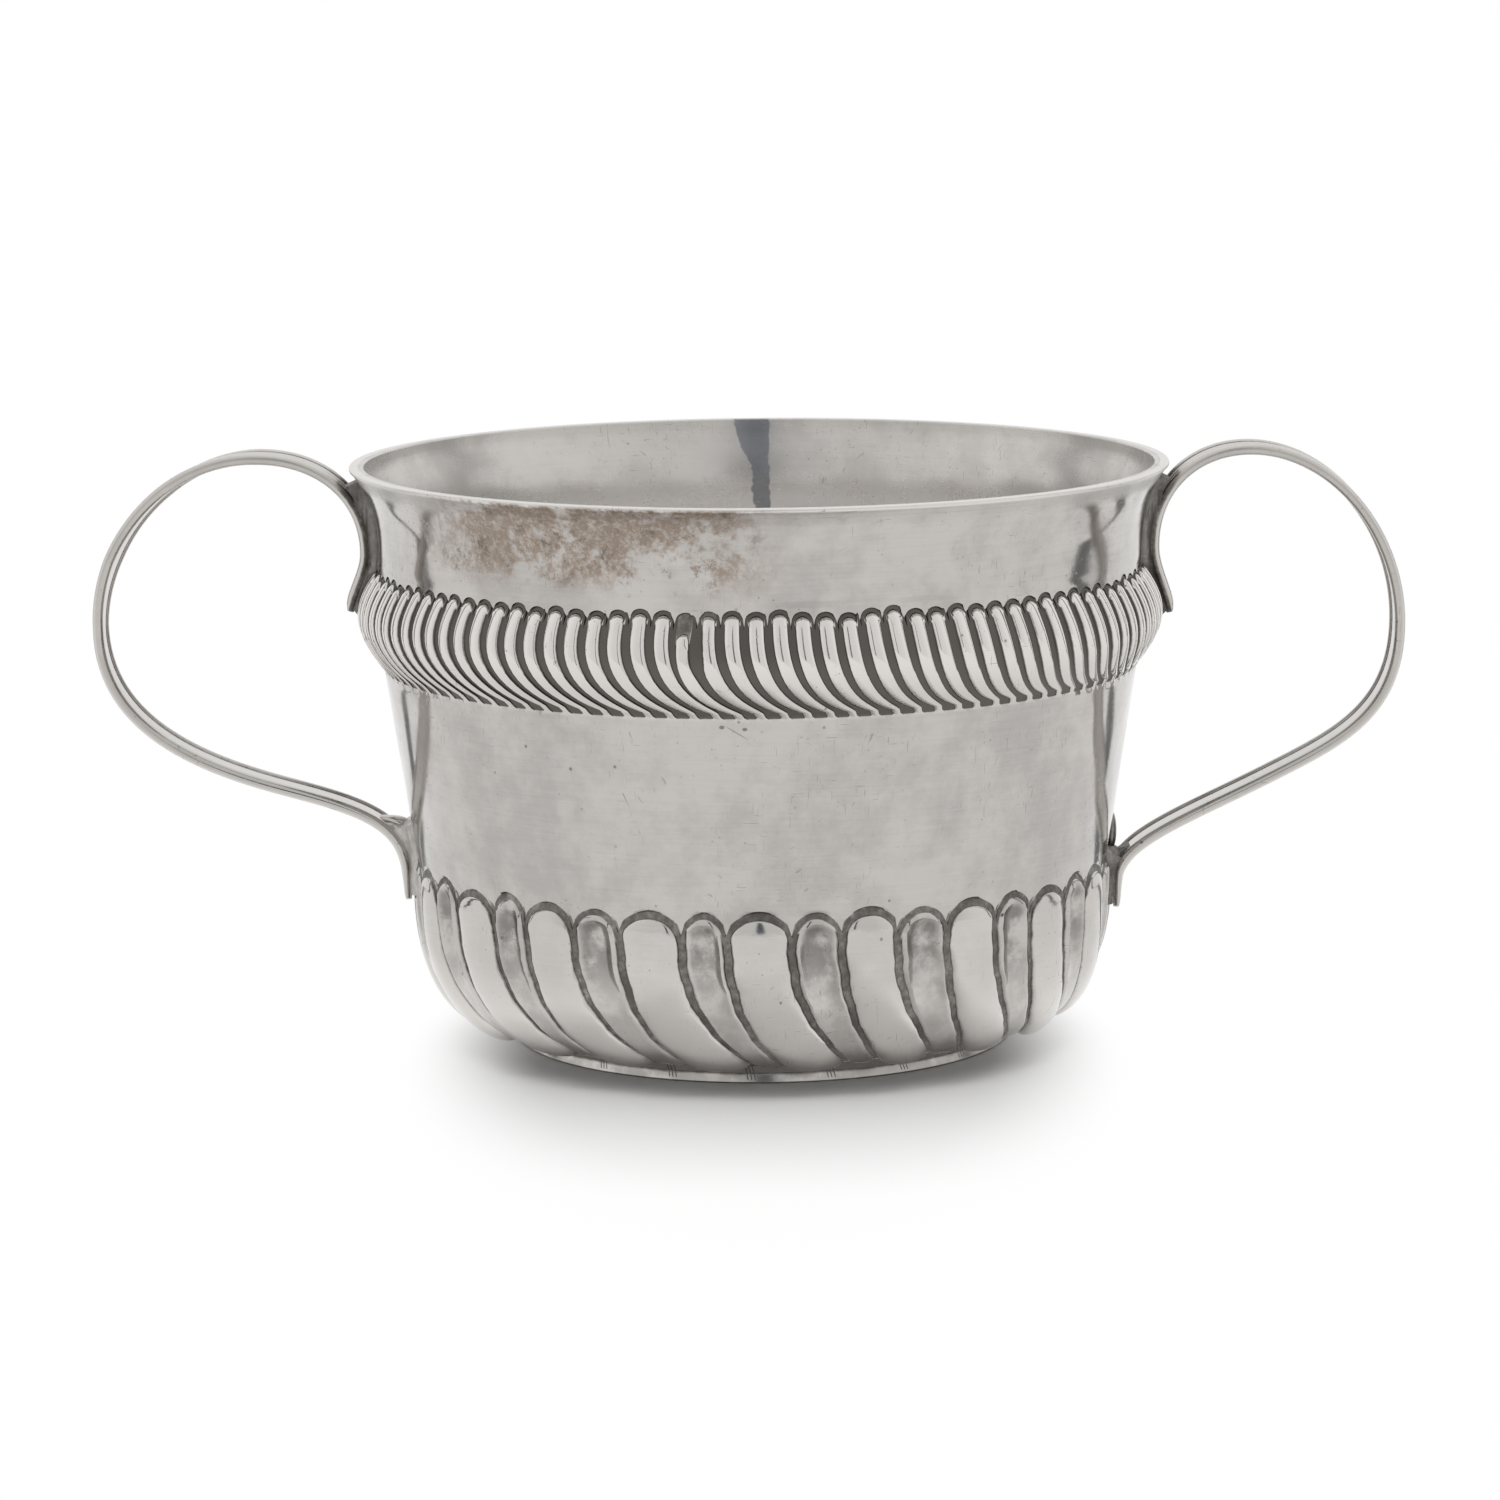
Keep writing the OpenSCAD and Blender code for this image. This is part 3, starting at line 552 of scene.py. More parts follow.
def makeLipWire():
    edge = cup["lipRound"]
    section = [(float(flareWall(lipZ + up)), lipZ + up) for up in rings["lipRows"]]
    section += arcOf(cup["rimR"] - edge, cup["height"] - edge, edge, rings["flareLean"], 90)
    section += [(sheetTopR + 0.4, cup["height"]), (sheetTopR, cup["height"]), (sheetTopR, lipZ)]
    # the rim's rounded top is lighter: partly wear, partly a painted highlight
    brightAndSheen = [1] * (len(section) - len(rings["lipWear"]) - 1)
    return makeRing("lipWire", section, 0, 0, rings["lipWear"] + brightAndSheen + [0])


def makeLipSolder():
    heights = [lipZ - down for down in rings["solderRows"]]
    backR = sheetTopR - rings["overlap"]
    section = [(float(flareWall(z)), z) for z in heights] + [(backR, heights[-1]), (backR, heights[0])]
    return makeRing("lipSolder", section)


def makeFootRing():
    inR, outR, top = cup["footR"] - cup["footW"], cup["footR"], cup["footH"] + rings["footSeat"]
    lean, edge = cup["footLean"], cup["footRound"]
    section = [(inR, 0.25), (inR, top), (outR - lean, top), (outR - 0.7 * lean, 0.75 * top),
               (outR - 0.35 * lean, 0.45 * top)]
    section += arcOf(outR - edge, edge, edge, 12, -90)
    section += [(inR + 0.9, 0), (inR + 0.2, 0), (inR + 0.05, 0.06)]
    # painted shade: the foot ring is darker at its top under the lobes' ends, partly grime and partly painted
    # shadow, and darker all over as a painted reflection of the shadowed floor
    grime = rings["footGrimeAndShadow"] + [0] * (len(section) - len(rings["footGrimeAndShadow"]))
    return makeRing("footRing", section, grime, rings["footShade"])


lipWire = makeLipWire()
lipSolder = makeLipSolder()
footRing = makeFootRing()
print("rings done")

# strap handles: a reeded strap along six cubic curves, from its tip on the band to its landing on the lobes
strap = dict(
    width=7.5, thick=1.4, rib=0.95, ribRise=0.25, web=0.4, back=0.47, notch=0.15, bed=0.7, tipLift=0.35,
    endRound=3.3, endTaper=0.75, taperSteps=14, endThin=0.6,
    # size and reach of the rings that close an end
    endRings=[(0.86, 0.7), (0.5, 1), (0, 1)], endReach=0.35,
    pulls=dict(curl=0.45, rise=0.45, curlEnd=0.3, neck=0.59, round=0.53, far=0.6, arm=0.38, land=0.48),
    steps=[14, 30, 30, 30, 32, 8], rootSteps=24, landSteps=18,
)
handles = dict(
    left=dict(side=-1, tipDrop=5.8, topOut=12, topUp=1, reach=32.8, reachDown=21, armOut=16.4, armUp=8.4,
              armSlope=15.5, landDown=2.5, bend=6.5, land=3.6, crotch=0.6, sag=0.2,
              rootGrime=0.75, landGrime=0.15, landPolish=0.55,
              twistAt=[44, 56, 66, 74], twist=[0, -6, -6, 0]),
    right=dict(side=1, tipDrop=6.8, topOut=10.4, topUp=1.2, reach=29.9, reachDown=21.6, armOut=21, armUp=9.3,
               armSlope=27, landDown=4, bend=4.5, land=3.9, crotch=0.73, sag=0.4,
               rootGrime=0.65, landGrime=0.5, landPolish=0,
               twistAt=[44, 74], twist=[0, 0]),
)
halfT = strap["thick"] / 2
halfW = strap["width"] / 2


def routeCurves(h):
    pull = strap["pulls"]
    tipZ = cup["bandTopZ"] - h["tipDrop"]
    tip = np.array([bandSwell(tipZ) + strap["tipLift"] + halfT, tipZ])
    root = np.array([cup["neckR"] + strap["bed"] + halfT, neckZ])
    top = np.array([cup["rimR"] + h["topOut"], cup["height"] + h["topUp"]])
    far = np.array([cup["rimR"] + h["reach"], cup["height"] - h["reachDown"]])
    arm = np.array([cup["bellyR"] + h["armOut"], cup["archTopZ"] + h["armUp"]])
    slope = math.radians(h["armSlope"])
    along = -np.array([math.cos(slope), math.sin(slope)])
    land = np.array([cup["bellyR"] + cup["seatGap"] + halfT, cup["archTopZ"] - h["landDown"]])
    end = land - [0, h["land"]]
    across, up = np.array([1, 0]), np.array([0, 1])
    curl = (root - tip) * [pull["curl"], pull["rise"]]
    neckPull = (top - root) * pull["neck"]
    armPull = along * np.hypot(*(far - arm)) * pull["arm"]
    return [
        (tip, tip + curl, root - up * (root - tip)[1] * pull["curlEnd"], root),
        (root, root + up * neckPull[1], top - across * neckPull[0], top),
        (top, top + across * (far - top)[0] * pull["round"], far + up * (top - far)[1] * pull["round"], far),
        (far, far - up * (far - arm)[1] * pull["far"], arm - armPull, arm),
        (arm, arm + along * np.hypot(*(arm - land)) * pull["land"], land + up * h["bend"], land),
        (land, land - up * h["land"] / 3, end + up * h["land"] / 3, end),
    ]


def alongCurve(curve, t):
    a, b, c, d = curve
    t = np.asarray(t)[:, None]
    point = a * (1 - t) ** 3 + b * 3 * t * (1 - t) ** 2 + c * 3 * t * t * (1 - t) + d * t ** 3
    way = (b - a) * (1 - t) ** 2 + (c - b) * 2 * t * (1 - t) + (d - c) * t * t
    way /= np.hypot(way[:, 0], way[:, 1])[:, None]
    return point, np.stack((-way[:, 1], way[:, 0]), axis=1)


def routeOf(h):
    points, normals = [], []
    for k, (curve, steps) in enumerate(zip(routeCurves(h), strap["steps"])):
        t = np.arange(steps + (k == len(strap["steps"]) - 1)) / steps
        point, normal = alongCurve(curve, t)
        points.append(point)
        normals.append(normal)
    return np.concatenate(points), np.concatenate(normals)


def strapSection():
    # a rib, a web and a round bead at each edge: across the strap, out from its middle, and the dirt there
    web, back, notch = strap["web"], strap["back"], strap["notch"]
    beadY = halfW - halfT
    seam = beadY - 0.78 * halfT
    half = [(y, web + strap["ribRise"] * math.cos(math.pi / 2 * y / strap["rib"]) ** 1.2, 0)
            for y in np.linspace(0, strap["rib"], 5)]
    half += [(1.7, web, 0), (seam - 0.25, web, 0), (seam - 0.1, web - 0.05, 0.5), (seam, notch, 1)]
    for a in np.radians(np.linspace(140, -140, 19)):
        half.append((beadY + halfT * math.cos(a), halfT * math.sin(a), 0.5 if abs(a) > 2.4 else 0))
    half += [(seam, -notch, 1), (seam - 0.1, 0.05 - back, 0.5), (seam - 0.25, -back, 0), (1.2, -back, 0)]
    half = np.array(half)
    return np.concatenate((half, [(0, -back, 0)], half[:0:-1] * (-1, 1, 1)))


def shapedGrid(name, points, angle=50, recess=0, polishAndSheen=0):
    # a grid whose rows are closed rings of points; rings of no size close its ends
    shape = points.shape[:2]
    marks = {"recess": np.broadcast_to(recess, shape), "polishAndSheen": np.broadcast_to(polishAndSheen, shape)}
    points = np.concatenate((points, points[:, :1]), axis=1)
    bpy.ops.object.select_all(action="DESELECT")
    rows, columns = points.shape[:2]
    bpy.ops.mesh.primitive_grid_add(x_subdivisions=columns - 1, y_subdivisions=rows - 1, size=1)
    piece = bpy.context.object
    piece.name = name
    piece.data.vertices.foreach_set("co", (points * mm).ravel())
    for key, values in marks.items():
        mark(piece.data, key, np.concatenate((values, values[:, :1]), axis=1))
    piece.data.update()
    return finishMesh(piece, angle)


def strapTaper(fromEnd):
    # share of the strap's full width, by the stations from its end
    return strap["endTaper"] + (1 - strap["endTaper"]) * smooth(fromEnd / strap["taperSteps"])


def makeStrap(name, h):
    point, normal = routeOf(h)
    count = len(point)
    y, out, dirt = strapSection().T
    station = np.arange(count)[:, None]
    width = strapTaper(np.minimum(station, count - 1 - station))
    # thinned outside at the landing, and twisted a little where the smith's hand left it so
    thin = 1 - strap["endThin"] * smooth((station - count + 14) / 12)
    tipRound, landRound = (np.sqrt(1 - np.clip(1 - (steps + 0.3) / strap["endRound"], 0, 1) ** 2)
                           for steps in (station, count - 1 - station))
    deep = out * np.where(out > 0, thin * landRound, tipRound)
    turn = np.radians(np.interp(station, h["twistAt"], h["twist"]))
    across = (y * np.cos(turn) - deep * np.sin(turn)) * width
    deep = y * np.sin(turn) + deep * np.cos(turn)
    at = point[:, None] + normal[:, None] * deep[..., None]
    strapRings = np.stack((h["side"] * at[..., 0], across, at[..., 1]), axis=-1)
    # grime towards the cup at the two roots, wear and painted sheen on the side away from it
    root = (1 - smooth((station - strap["rootSteps"]) / 10)) * smooth((out + 0.3) / 0.3)
    landing = smooth((station - count + strap["landSteps"]) / 8) * smooth((0.1 - out) / 0.3)
    recess = np.maximum(dirt, np.maximum(h["rootGrime"] * root, h["landGrime"] * landing))
    away = out * (2 * smooth((station - strap["rootSteps"]) / 10) - 1)
    wornAndSheen = 0.2 + 0.5 * smooth((away - 0.2) / 0.3)

    def ending(ring, beyond):
        # a rounded end: two smaller rings and a closing point
        middle = ring.mean(axis=0)
        step = middle - beyond.mean(axis=0)
        step *= strap["endReach"] / np.linalg.norm(step)
        return [middle + (ring - middle) * size + step * reach for size, reach in strap["endRings"]]

    first = ending(strapRings[0], strapRings[1])[::-1]
    last = ending(strapRings[-1], strapRings[-2])
    recess, wornAndSheen = (np.concatenate((part[[0] * 3], part, part[[-1] * 3])) for part in (recess, wornAndSheen))
    return shapedGrid(name, np.concatenate((first, strapRings, last)), 50, recess, wornAndSheen)


leftStrap = makeStrap("leftStrap", handles["left"])
rightStrap = makeStrap("rightStrap", handles["right"])
print("straps:", len(leftStrap.data.polygons), len(rightStrap.data.polygons), "faces")

# solder: it fills the space between cup and strap, flush with the strap's edges, and leaves a hollow crotch
solder = dict(
    tailStart=0.02, tailRings=14, tailFoot=1.2, upperEnd=0.44, rings=16, landRings=6, landStart=0.85,
    sink=0.3, bury=0.3, climb=0.3,
    outline=[(1.1, 0), (0.99, 0.25), (0.91, 0.55), (0.93, 0.85), (0.96, 1), (0, 1),
             (-0.96, 1), (-0.93, 0.85), (-0.91, 0.55), (-0.99, 0.25), (-1.1, 0), (0, 0)],
)


def webRings(wallSide, strapSide, half, side, sag):
    # rings of points from the wall to the strap and back, closed by a point at each end
    webs = []
    for (wallR, wallZ), (strapR, strapZ), wide in zip(wallSide, strapSide, half):
        web = []
        for y, share in solder["outline"]:
            # the wall falls away from the handle's plane
            bend = wallR - math.sqrt(wallR * wallR - (y * wide) ** 2)
            drop = sag * (strapR - wallR) * 4 * share * (1 - share)
            reach = wallR + (strapR - wallR) * share - bend * (1 - share)
            web.append((side * reach, y * wide, wallZ + (strapZ - wallZ) * share - drop))
        webs.append(web)
    webs = np.array(webs)
    low, high = webs[0] * 0 + webs[0].mean(axis=0), webs[-1] * 0 + webs[-1].mean(axis=0)
    return np.concatenate((low[None], webs, high[None]))


def makeUpperSolder(name, h):
    curves = routeCurves(h)
    tailT = np.linspace(solder["tailStart"], 1, solder["tailRings"], endpoint=False)
    tail = alongCurve(curves[0], tailT)
    rise = alongCurve(curves[1], np.linspace(0, solder["upperEnd"], solder["rings"]))
    point, normal = (np.concatenate(pair) for pair in zip(tail, rise))
    strapSide = point + normal * (halfT - solder["sink"])
    topZ = lipZ - cup["lipSolder"]
    z = np.minimum(strapSide[:, 1], topZ)
    late = np.arange(len(z)) - solder["tailRings"]
    z = np.where(late > 0, neckZ + (topZ - neckZ) * late / (solder["rings"] - 1), z)
    z[:len(tailT)] -= solder["tailFoot"] * (1 - tailT) ** 3
    wallR = np.where(z < cup["bandTopZ"], bandSwell(z), neckWall(z)) - solder["bury"]
    wallSide = np.stack((np.minimum(wallR, strapSide[:, 0] - 0.05), z), axis=1)
    last = solder["rings"] - 1
    topTaper = np.interp(np.arange(last + 1), [0, last - 4, last], [1, 1, 0.7])
    half = halfW * np.concatenate((strapTaper(tailT * strap["steps"][0]), topTaper))
    return shapedGrid(name, webRings(wallSide, strapSide, half, h["side"], 0), 50, 0.5)


def makeLowerSolder(name, h):
    curves = routeCurves(h)
    landT = np.linspace(solder["landStart"], 0, solder["landRings"], endpoint=False)
    dropT = np.linspace(1, h["crotch"], solder["rings"])
    landing, crotch = alongCurve(curves[5], landT), alongCurve(curves[4], dropT)
    point, normal = (np.concatenate(pair) for pair in zip(landing, crotch))
    strapSide = point - normal * (halfT - solder["sink"])
    z = strapSide[:, 1]
    wallR = sideWall(np.maximum(z, cup["archTopZ"])) - solder["bury"]
    wallZ = z + solder["climb"] * smooth((z - z[0]) / 8)
    wallSide = np.stack((np.minimum(wallR, strapSide[:, 0] - 0.03), wallZ), axis=1)
    dropSteps, landSteps = strap["steps"][4:]
    fromEnd = np.concatenate(((1 - landT) * landSteps, landSteps + (1 - dropT) * dropSteps))
    webs = webRings(wallSide, strapSide, halfW * strapTaper(fromEnd), h["side"], h["sag"])
    return shapedGrid(name, webs, 50, h["landGrime"], h["landPolish"])


solderPieces = {}
for which in ("left", "right"):
    solderPieces[which + "_upper_solder"] = makeUpperSolder(which + "UpperSolder", handles[which])
    solderPieces[which + "_lower_solder"] = makeLowerSolder(which + "LowerSolder", handles[which])
print("solder done")

# spurs: on the left a curled nub between strap and wall, on the right a leaf lying on the wall
spurs = dict(
    sides=16, rings=16,
    left=dict(curve=[(46.3, 27.0), (46.6, 28.4), (48.2, 27.9), (50.2, 28.8)],
              radius=0.8, widest=0.3, wide=1.7, grime=0.35, shine=0.4),
    right=dict(curve=[(45.6, 23.6), (45.8, 25.6), (45.85, 27.4), (45.65, 28.8)],
               radius=0.65, widest=0.35, wide=2.2, grime=0.5, shine=0.1),
)


def makeSpur(name, side, look):
    t = np.linspace(0, 1, spurs["rings"])
    point, normal = alongCurve([np.array(p) for p in look["curve"]], t)
    toEnd = np.abs(t - look["widest"]) / np.where(t > look["widest"], 1 - look["widest"], look["widest"])
    radius = look["radius"] * np.sqrt(np.maximum(0, 1 - toEnd ** 2.5))
    turn = np.radians(np.arange(spurs["sides"]) * 360 / spurs["sides"])
    at = point[:, None] + normal[:, None] * (radius[:, None] * np.cos(turn))[..., None]
    across = look["wide"] * radius[:, None] * np.sin(turn)
    points = np.stack((side * at[..., 0], across, at[..., 1]), axis=-1)
    return shapedGrid(name, points, 60, look["grime"], look["shine"])


leftSpur = makeSpur("leftSpur", -1, spurs["left"])
rightSpur = makeSpur("rightSpur", 1, spurs["right"])
print("spurs done")


class Wire:
    # a shader socket that takes part in sums, and adds any other node beside itself
    def __init__(self, tree, socket):
        self.tree = tree
        self.socket = socket

    def node(self, kind, settings=None, inputs=None, out=0):
        made = self.tree.nodes.new(kind)
        for key, value in (settings or {}).items():
            setattr(made, key, value)
        for key, value in (inputs or {}).items():
            if isinstance(value, Wire):
                self.tree.links.new(value.socket, made.inputs[key])
            else:
                made.inputs[key].default_value = value
        return Wire(self.tree, made.outputs[out])

    def sum(self, operation, a, b):
        return self.node("ShaderNodeMath", {"operation": operation}, {0: a, 1: b})

    def __add__(self, other):
        return self.sum("ADD", self, other)

    def __sub__(self, other):
        return self.sum("SUBTRACT", self, other)

    def __rsub__(self, other):
        return self.sum("SUBTRACT", other, self)

    def __mul__(self, other):
        return self.sum("MULTIPLY", self, other)

    __radd__ = __add__
    __rmul__ = __mul__

    def step(self, low, high):
        return self.node("ShaderNodeMapRange", {"interpolation_type": "SMOOTHSTEP"},
                         {"Value": self, "From Min": low, "From Max": high})

    def colour(self, a, b):
        # from colour a to colour b by this share
        return self.node("ShaderNodeMix", {"data_type": "RGBA"}, {0: self, 6: a, 7: b}, 2)

    def most(self, other):
        return self.sum("MAXIMUM", self, other)

    def size(self):
        return self.sum("ABSOLUTE", self, 0)

    def within(self, low, high):
        # 1 between two soft edges
        return self.step(*low) * (1 - self.step(*high))

    def axes(self):
        parts = self.node("ShaderNodeSeparateXYZ", None, {"Vector": self}).socket.node
        return [Wire(self.tree, socket) for socket in parts.outputs]

    def turned(self, rotation, scale):
        return self.node("ShaderNodeMapping", None, {"Vector": self, "Rotation": rotation, "Scale": scale})

    def noise(self, scale, detail, rough=0.6):
        return self.node("ShaderNodeTexNoise", None, {"Vector": self, "Scale": scale, "Detail": detail,
                                                      "Roughness": rough})

    def rays(self):
        # whether the camera, a reflection or a clear body looks here
        path = self.node("ShaderNodeLightPath").socket.node
        keys = ("Is Camera Ray", "Is Glossy Ray", "Is Transmission Ray")
        return [Wire(self.tree, path.outputs[key]) for key in keys]


# old silver: clean metal, worn bright places with painted sheen, grey bloom, tarnish, brown patina, dark dirt
# in the chasing, painted shade on the foot and a painted reflection inside
silver = dict(
    clean=(0.54, 0.517, 0.492, 1), dull=(0.415, 0.396, 0.377, 1), brightAndSheen=(0.72, 0.695, 0.665, 1),
    # the tarnish colour is also the foot ring's painted shade
    brown=(0.30, 0.238, 0.19, 1), tarnishAndShade=(0.24, 0.228, 0.215, 1), dirt=(0.13, 0.121, 0.109, 1),
    # the bluish run colour is a painted reflection of the dark gap in front
    run=(0.29, 0.298, 0.315, 1), film=(0.8, 0.78, 0.757, 1), filmMatt=0.75,
    patina=0, bloom=0.8, marks=0, streak=0, lined=False,
    rough=0.07, roughDull=0.08, roughDirt=0.35, bump=0.3, bumpDepth=0.00012,
)
# small marks on the front wall in metres: x, z, turn, half length and half width
wallMarks = [(-0.00488, 0.04805, 0, 0.00036, 0.00026), (-0.00209, 0.0478, 0, 0.00034, 0.00024),
             (-0.0031, 0.04737, -0.56, 0.0017, 0.00005)]
# short strokes cut in the foot's band, in groups of three: angles in radians
hatch = dict(
    period=math.pi / 10, start=0.21, pitch=0.014, reach=0.021, width=0.0016, lean=7.0,
    middle=0.001, low=(0.0004, 0.0006), high=(0.0022, 0.003), within=(0.0011, 0.00114),
)
# brown patina under the lip and the dirty line along it, each pair a soft edge in metres
stain = dict(
    low=(0.0630, 0.0675), high=(0.0748, 0.0752), dense=(0.066, 0.074), left=(-0.044, -0.034),
    right=(-0.007, 0.005), front=(-0.03, -0.02), lineLow=(0.0722, 0.0734), lineHigh=(0.0742, 0.0747),
)
# matt film inside, and the painted reflection of the dark gap in front, a dark streak down the inside of the
# back, likewise
lining = dict(high=(0.0625, 0.0690), full=(0.045, 0.058))
reflectionStreak = dict(
    x=0.0003, lean=0.0012, spread=0.0014, ragged=0.0024, edge=(0.0010, 0.0013),
    top=(0.067, 0.0755), foot=(0.055, 0.062), back=(0.03, 0.035),
)


# hairline scratches: how each set is turned and stretched
scratchSets = [((0.2, 0.5, 0.3), (380, 380, 6200)), ((1.1, 0.3, 0.9), (420, 6600, 420)),
               ((0.5, 1.3, 2.2), (6400, 360, 360)), ((2.1, 0.7, 1.4), (6500, 400, 400))]


def patinaOn(place, x, z, front, inner):
    # granular patina at the left of the front, and specks there and along the lip
    patch = x.within(stain["left"], stain["right"]) * front
    underLip = z.within(stain["low"], stain["high"]) * patch
    grit = place.noise(330, 8, 0.78)
    brown = (grit * 0.45 + place.noise(110, 4, 0.7) * 0.55 + z.step(*stain["dense"]) * 0.03).step(0.45, 0.55)
    brown = underLip * brown * (1 - place.noise(1300, 8, 0.85).step(0.46, 0.60) * 0.6)
    lipLine = z.within(stain["lineLow"], stain["lineHigh"]) * (0.2 + patch * 0.6) * (1 - inner)
    return brown, underLip.most(lipLine) * grit.step(0.55, 0.66)


def pitsOn(place):
    coarse, fine = (place.node("ShaderNodeTexVoronoi", {"feature": "F1"}, {"Vector": place, "Scale": scale})
                    for scale in (420, 1000))
    coarse = (1 - coarse.step(0.05, 0.13)) * place.noise(130, 2).step(0.56, 0.66)
    fine = (1 - fine.step(0.06, 0.16)) * place.noise(170, 2).step(0.5, 0.64)
    return coarse.most(fine * 0.6)


def scratchesOn(place):
    sets = [place.turned(*lie).noise(1, 1, 0.5).step(0.72, 0.77) for lie in scratchSets]
    return sum(sets) * place.noise(70, 2).step(0.45, 0.6)


def addWallMarks(pit, x, z, front):
    for markX, markZ, turn, long, short in wallMarks:
        dx, dz = x - markX, z - markZ
        u = (dx * math.cos(turn) + dz * math.sin(turn)) * (1 / long)
        v = (dz * math.cos(turn) - dx * math.sin(turn)) * (1 / short)
        pit = pit.most((1 - (u * u + v * v).step(0.5, 1.2)) * front)
    return pit


def strokesOn(x, y, z):
    around = x.sum("ARCTAN2", x, y * -1) + hatch["start"] + (z - hatch["middle"]) * hatch["lean"]
    phase = x.sum("FLOORED_MODULO", around, hatch["period"]) - hatch["period"] / 2
    stroke = x.sum("FLOORED_MODULO", phase + hatch["pitch"] / 2, hatch["pitch"]) - hatch["pitch"] / 2
    stroke = 1 - stroke.size().step(hatch["width"], 2 * hatch["width"])
    group = 1 - phase.size().step(hatch["reach"], 1.05 * hatch["reach"])
    onFoot = z.within(hatch["low"], hatch["high"]) * (1 - (x * x + y * y).step(*hatch["within"]))
    return stroke * group * onFoot


# painted reflection: a dark streak down the inside of the back wall, where the dark gap in front would be
# mirrored
def runOn(place, x, y, z):
    upper = z.step(*reflectionStreak["top"])
    ragged = (place.noise(400, 4) - 0.5) * reflectionStreak["ragged"]
    run = (x - reflectionStreak["x"] + upper * reflectionStreak["lean"] + ragged).size()
    run = 1 - (run - upper * reflectionStreak["spread"]).step(*reflectionStreak["edge"])
    return run * y.step(*reflectionStreak["back"]) * z.step(*reflectionStreak["foot"])


def silverFinish(name, look):
    material = bpy.data.materials.new(name)
    material.use_nodes = True
    tree = material.node_tree
    shader = tree.nodes["Principled BSDF"]
    place = Wire(tree, tree.nodes.new("ShaderNodeTexCoord").outputs["Object"])
    x, y, z = place.axes()
    recess, hollow, polishAndSheen, inner = (place.node("ShaderNodeAttribute", {"attribute_name": key}, None, 2)
                                     for key in ("recess", "hollow", "polishAndSheen", "inner"))
    front = (1 - inner) * (1 - y.step(*stain["front"]))
    cloud, mottle, grain = place.noise(48, 5, 0.62), place.noise(210, 5, 0.65), place.noise(1400, 3)
    brushed = place.turned((0, 0, 0), (110, 110, 3000)).noise(1, 2, 0.5)
    shade = (cloud * 0.55 + mottle * 0.45).step(0.40, 0.64) * look["bloom"] + (brushed - 0.5) * 0.5

    # where each stain and mark lies
    brown, speck = (share * look["patina"] for share in patinaOn(place, x, z, front, inner))
    pit = addWallMarks(pitsOn(place).most(speck), x, z, front * look["marks"])
    scratches = scratchesOn(place)
    stroke = strokesOn(x, y, z) * look["marks"]
    dirt = (recess * (0.3 + mottle * 0.8 + grain * 0.6)).step(0.25, 0.8).most(stroke * 0.8)
    if look["streak"]:
        streak = place.turned((0, 0, 0), (900, 900, 130)).noise(1, 4, 0.65).step(0.42, 0.62)
        dirt = dirt.most(streak * (1 - polishAndSheen) * look["streak"])
    # the polish share is wear and painted sheen: painted highlights on tops, a painted reflection of the
    # bright table on the lower lobes and a painted lift on the base
    wear = (polishAndSheen * (0.2 + cloud + mottle * 0.6)).most(inner * 0.25)
    film = inner * (1 - z.step(*lining["high"])) * (0.75 + z.step(*lining["full"]) * 0.25)
    # painted reflection of the dark gap in front, down the inside of the back
    run = runOn(place, x, y, z) * inner * look["marks"]

    # one colour over the other
    layers = [(wear, "brightAndSheen"), (film, "film"), (hollow * mottle.step(0.36, 0.58), "tarnishAndShade"),
              (brown, "brown"), ((pit * 0.75).most(scratches * 0.4), "dirt"), (dirt, "dirt"), (run, "run")]
    colour = shade.colour(look["clean"], look["dull"])
    for share, tone in layers:
        colour = share.colour(colour, look[tone])

    # rougher where it is dull, stained or dirty, inside, and along the lip
    rough = look["rough"] + shade * look["roughDull"] + hollow * 0.12 + brown * 0.2
    rough = rough + dirt * look["roughDirt"] + grain * 0.03 + inner * 0.17
    rough = rough + z.step(0.0722, 0.0738) * (1 - inner) * 0.2
    height = mottle * 0.25 + grain * 0.10 - pit * 0.6 - scratches * 0.25 - dirt * 0.3 * grain
    bump = place.node("ShaderNodeBump", None, {"Strength": look["bump"], "Distance": look["bumpDepth"],
                                               "Height": height})
    shader.inputs["Metallic"].default_value = 1
    if look["lined"]:
        tree.links.new((1 - film * look["filmMatt"]).socket, shader.inputs["Metallic"])
    tree.links.new(colour.socket, shader.inputs["Base Color"])
    tree.links.new(rough.socket, shader.inputs["Roughness"])
    tree.links.new(bump.socket, shader.inputs["Normal"])
    return material


bodySilver = silverFinish("bodySilver", dict(silver, patina=1.0, marks=1.0, lined=True))
handleSilver = silverFinish("handleSilver", dict(
    silver, clean=(0.47, 0.45, 0.427, 1), dull=(0.39, 0.372, 0.352, 1)))
darkSolder = silverFinish("darkSolder", dict(
    silver, clean=(0.3, 0.287, 0.272, 1), dull=(0.18, 0.17, 0.158, 1),
    rough=0.3, streak=0.8, bloom=1.0, bump=0.6))


def dress(piece, material, slot, *nodes):
    piece.data.materials.clear()
    piece.data.materials.append(material)
    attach(piece, "root")
    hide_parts(*nodes)


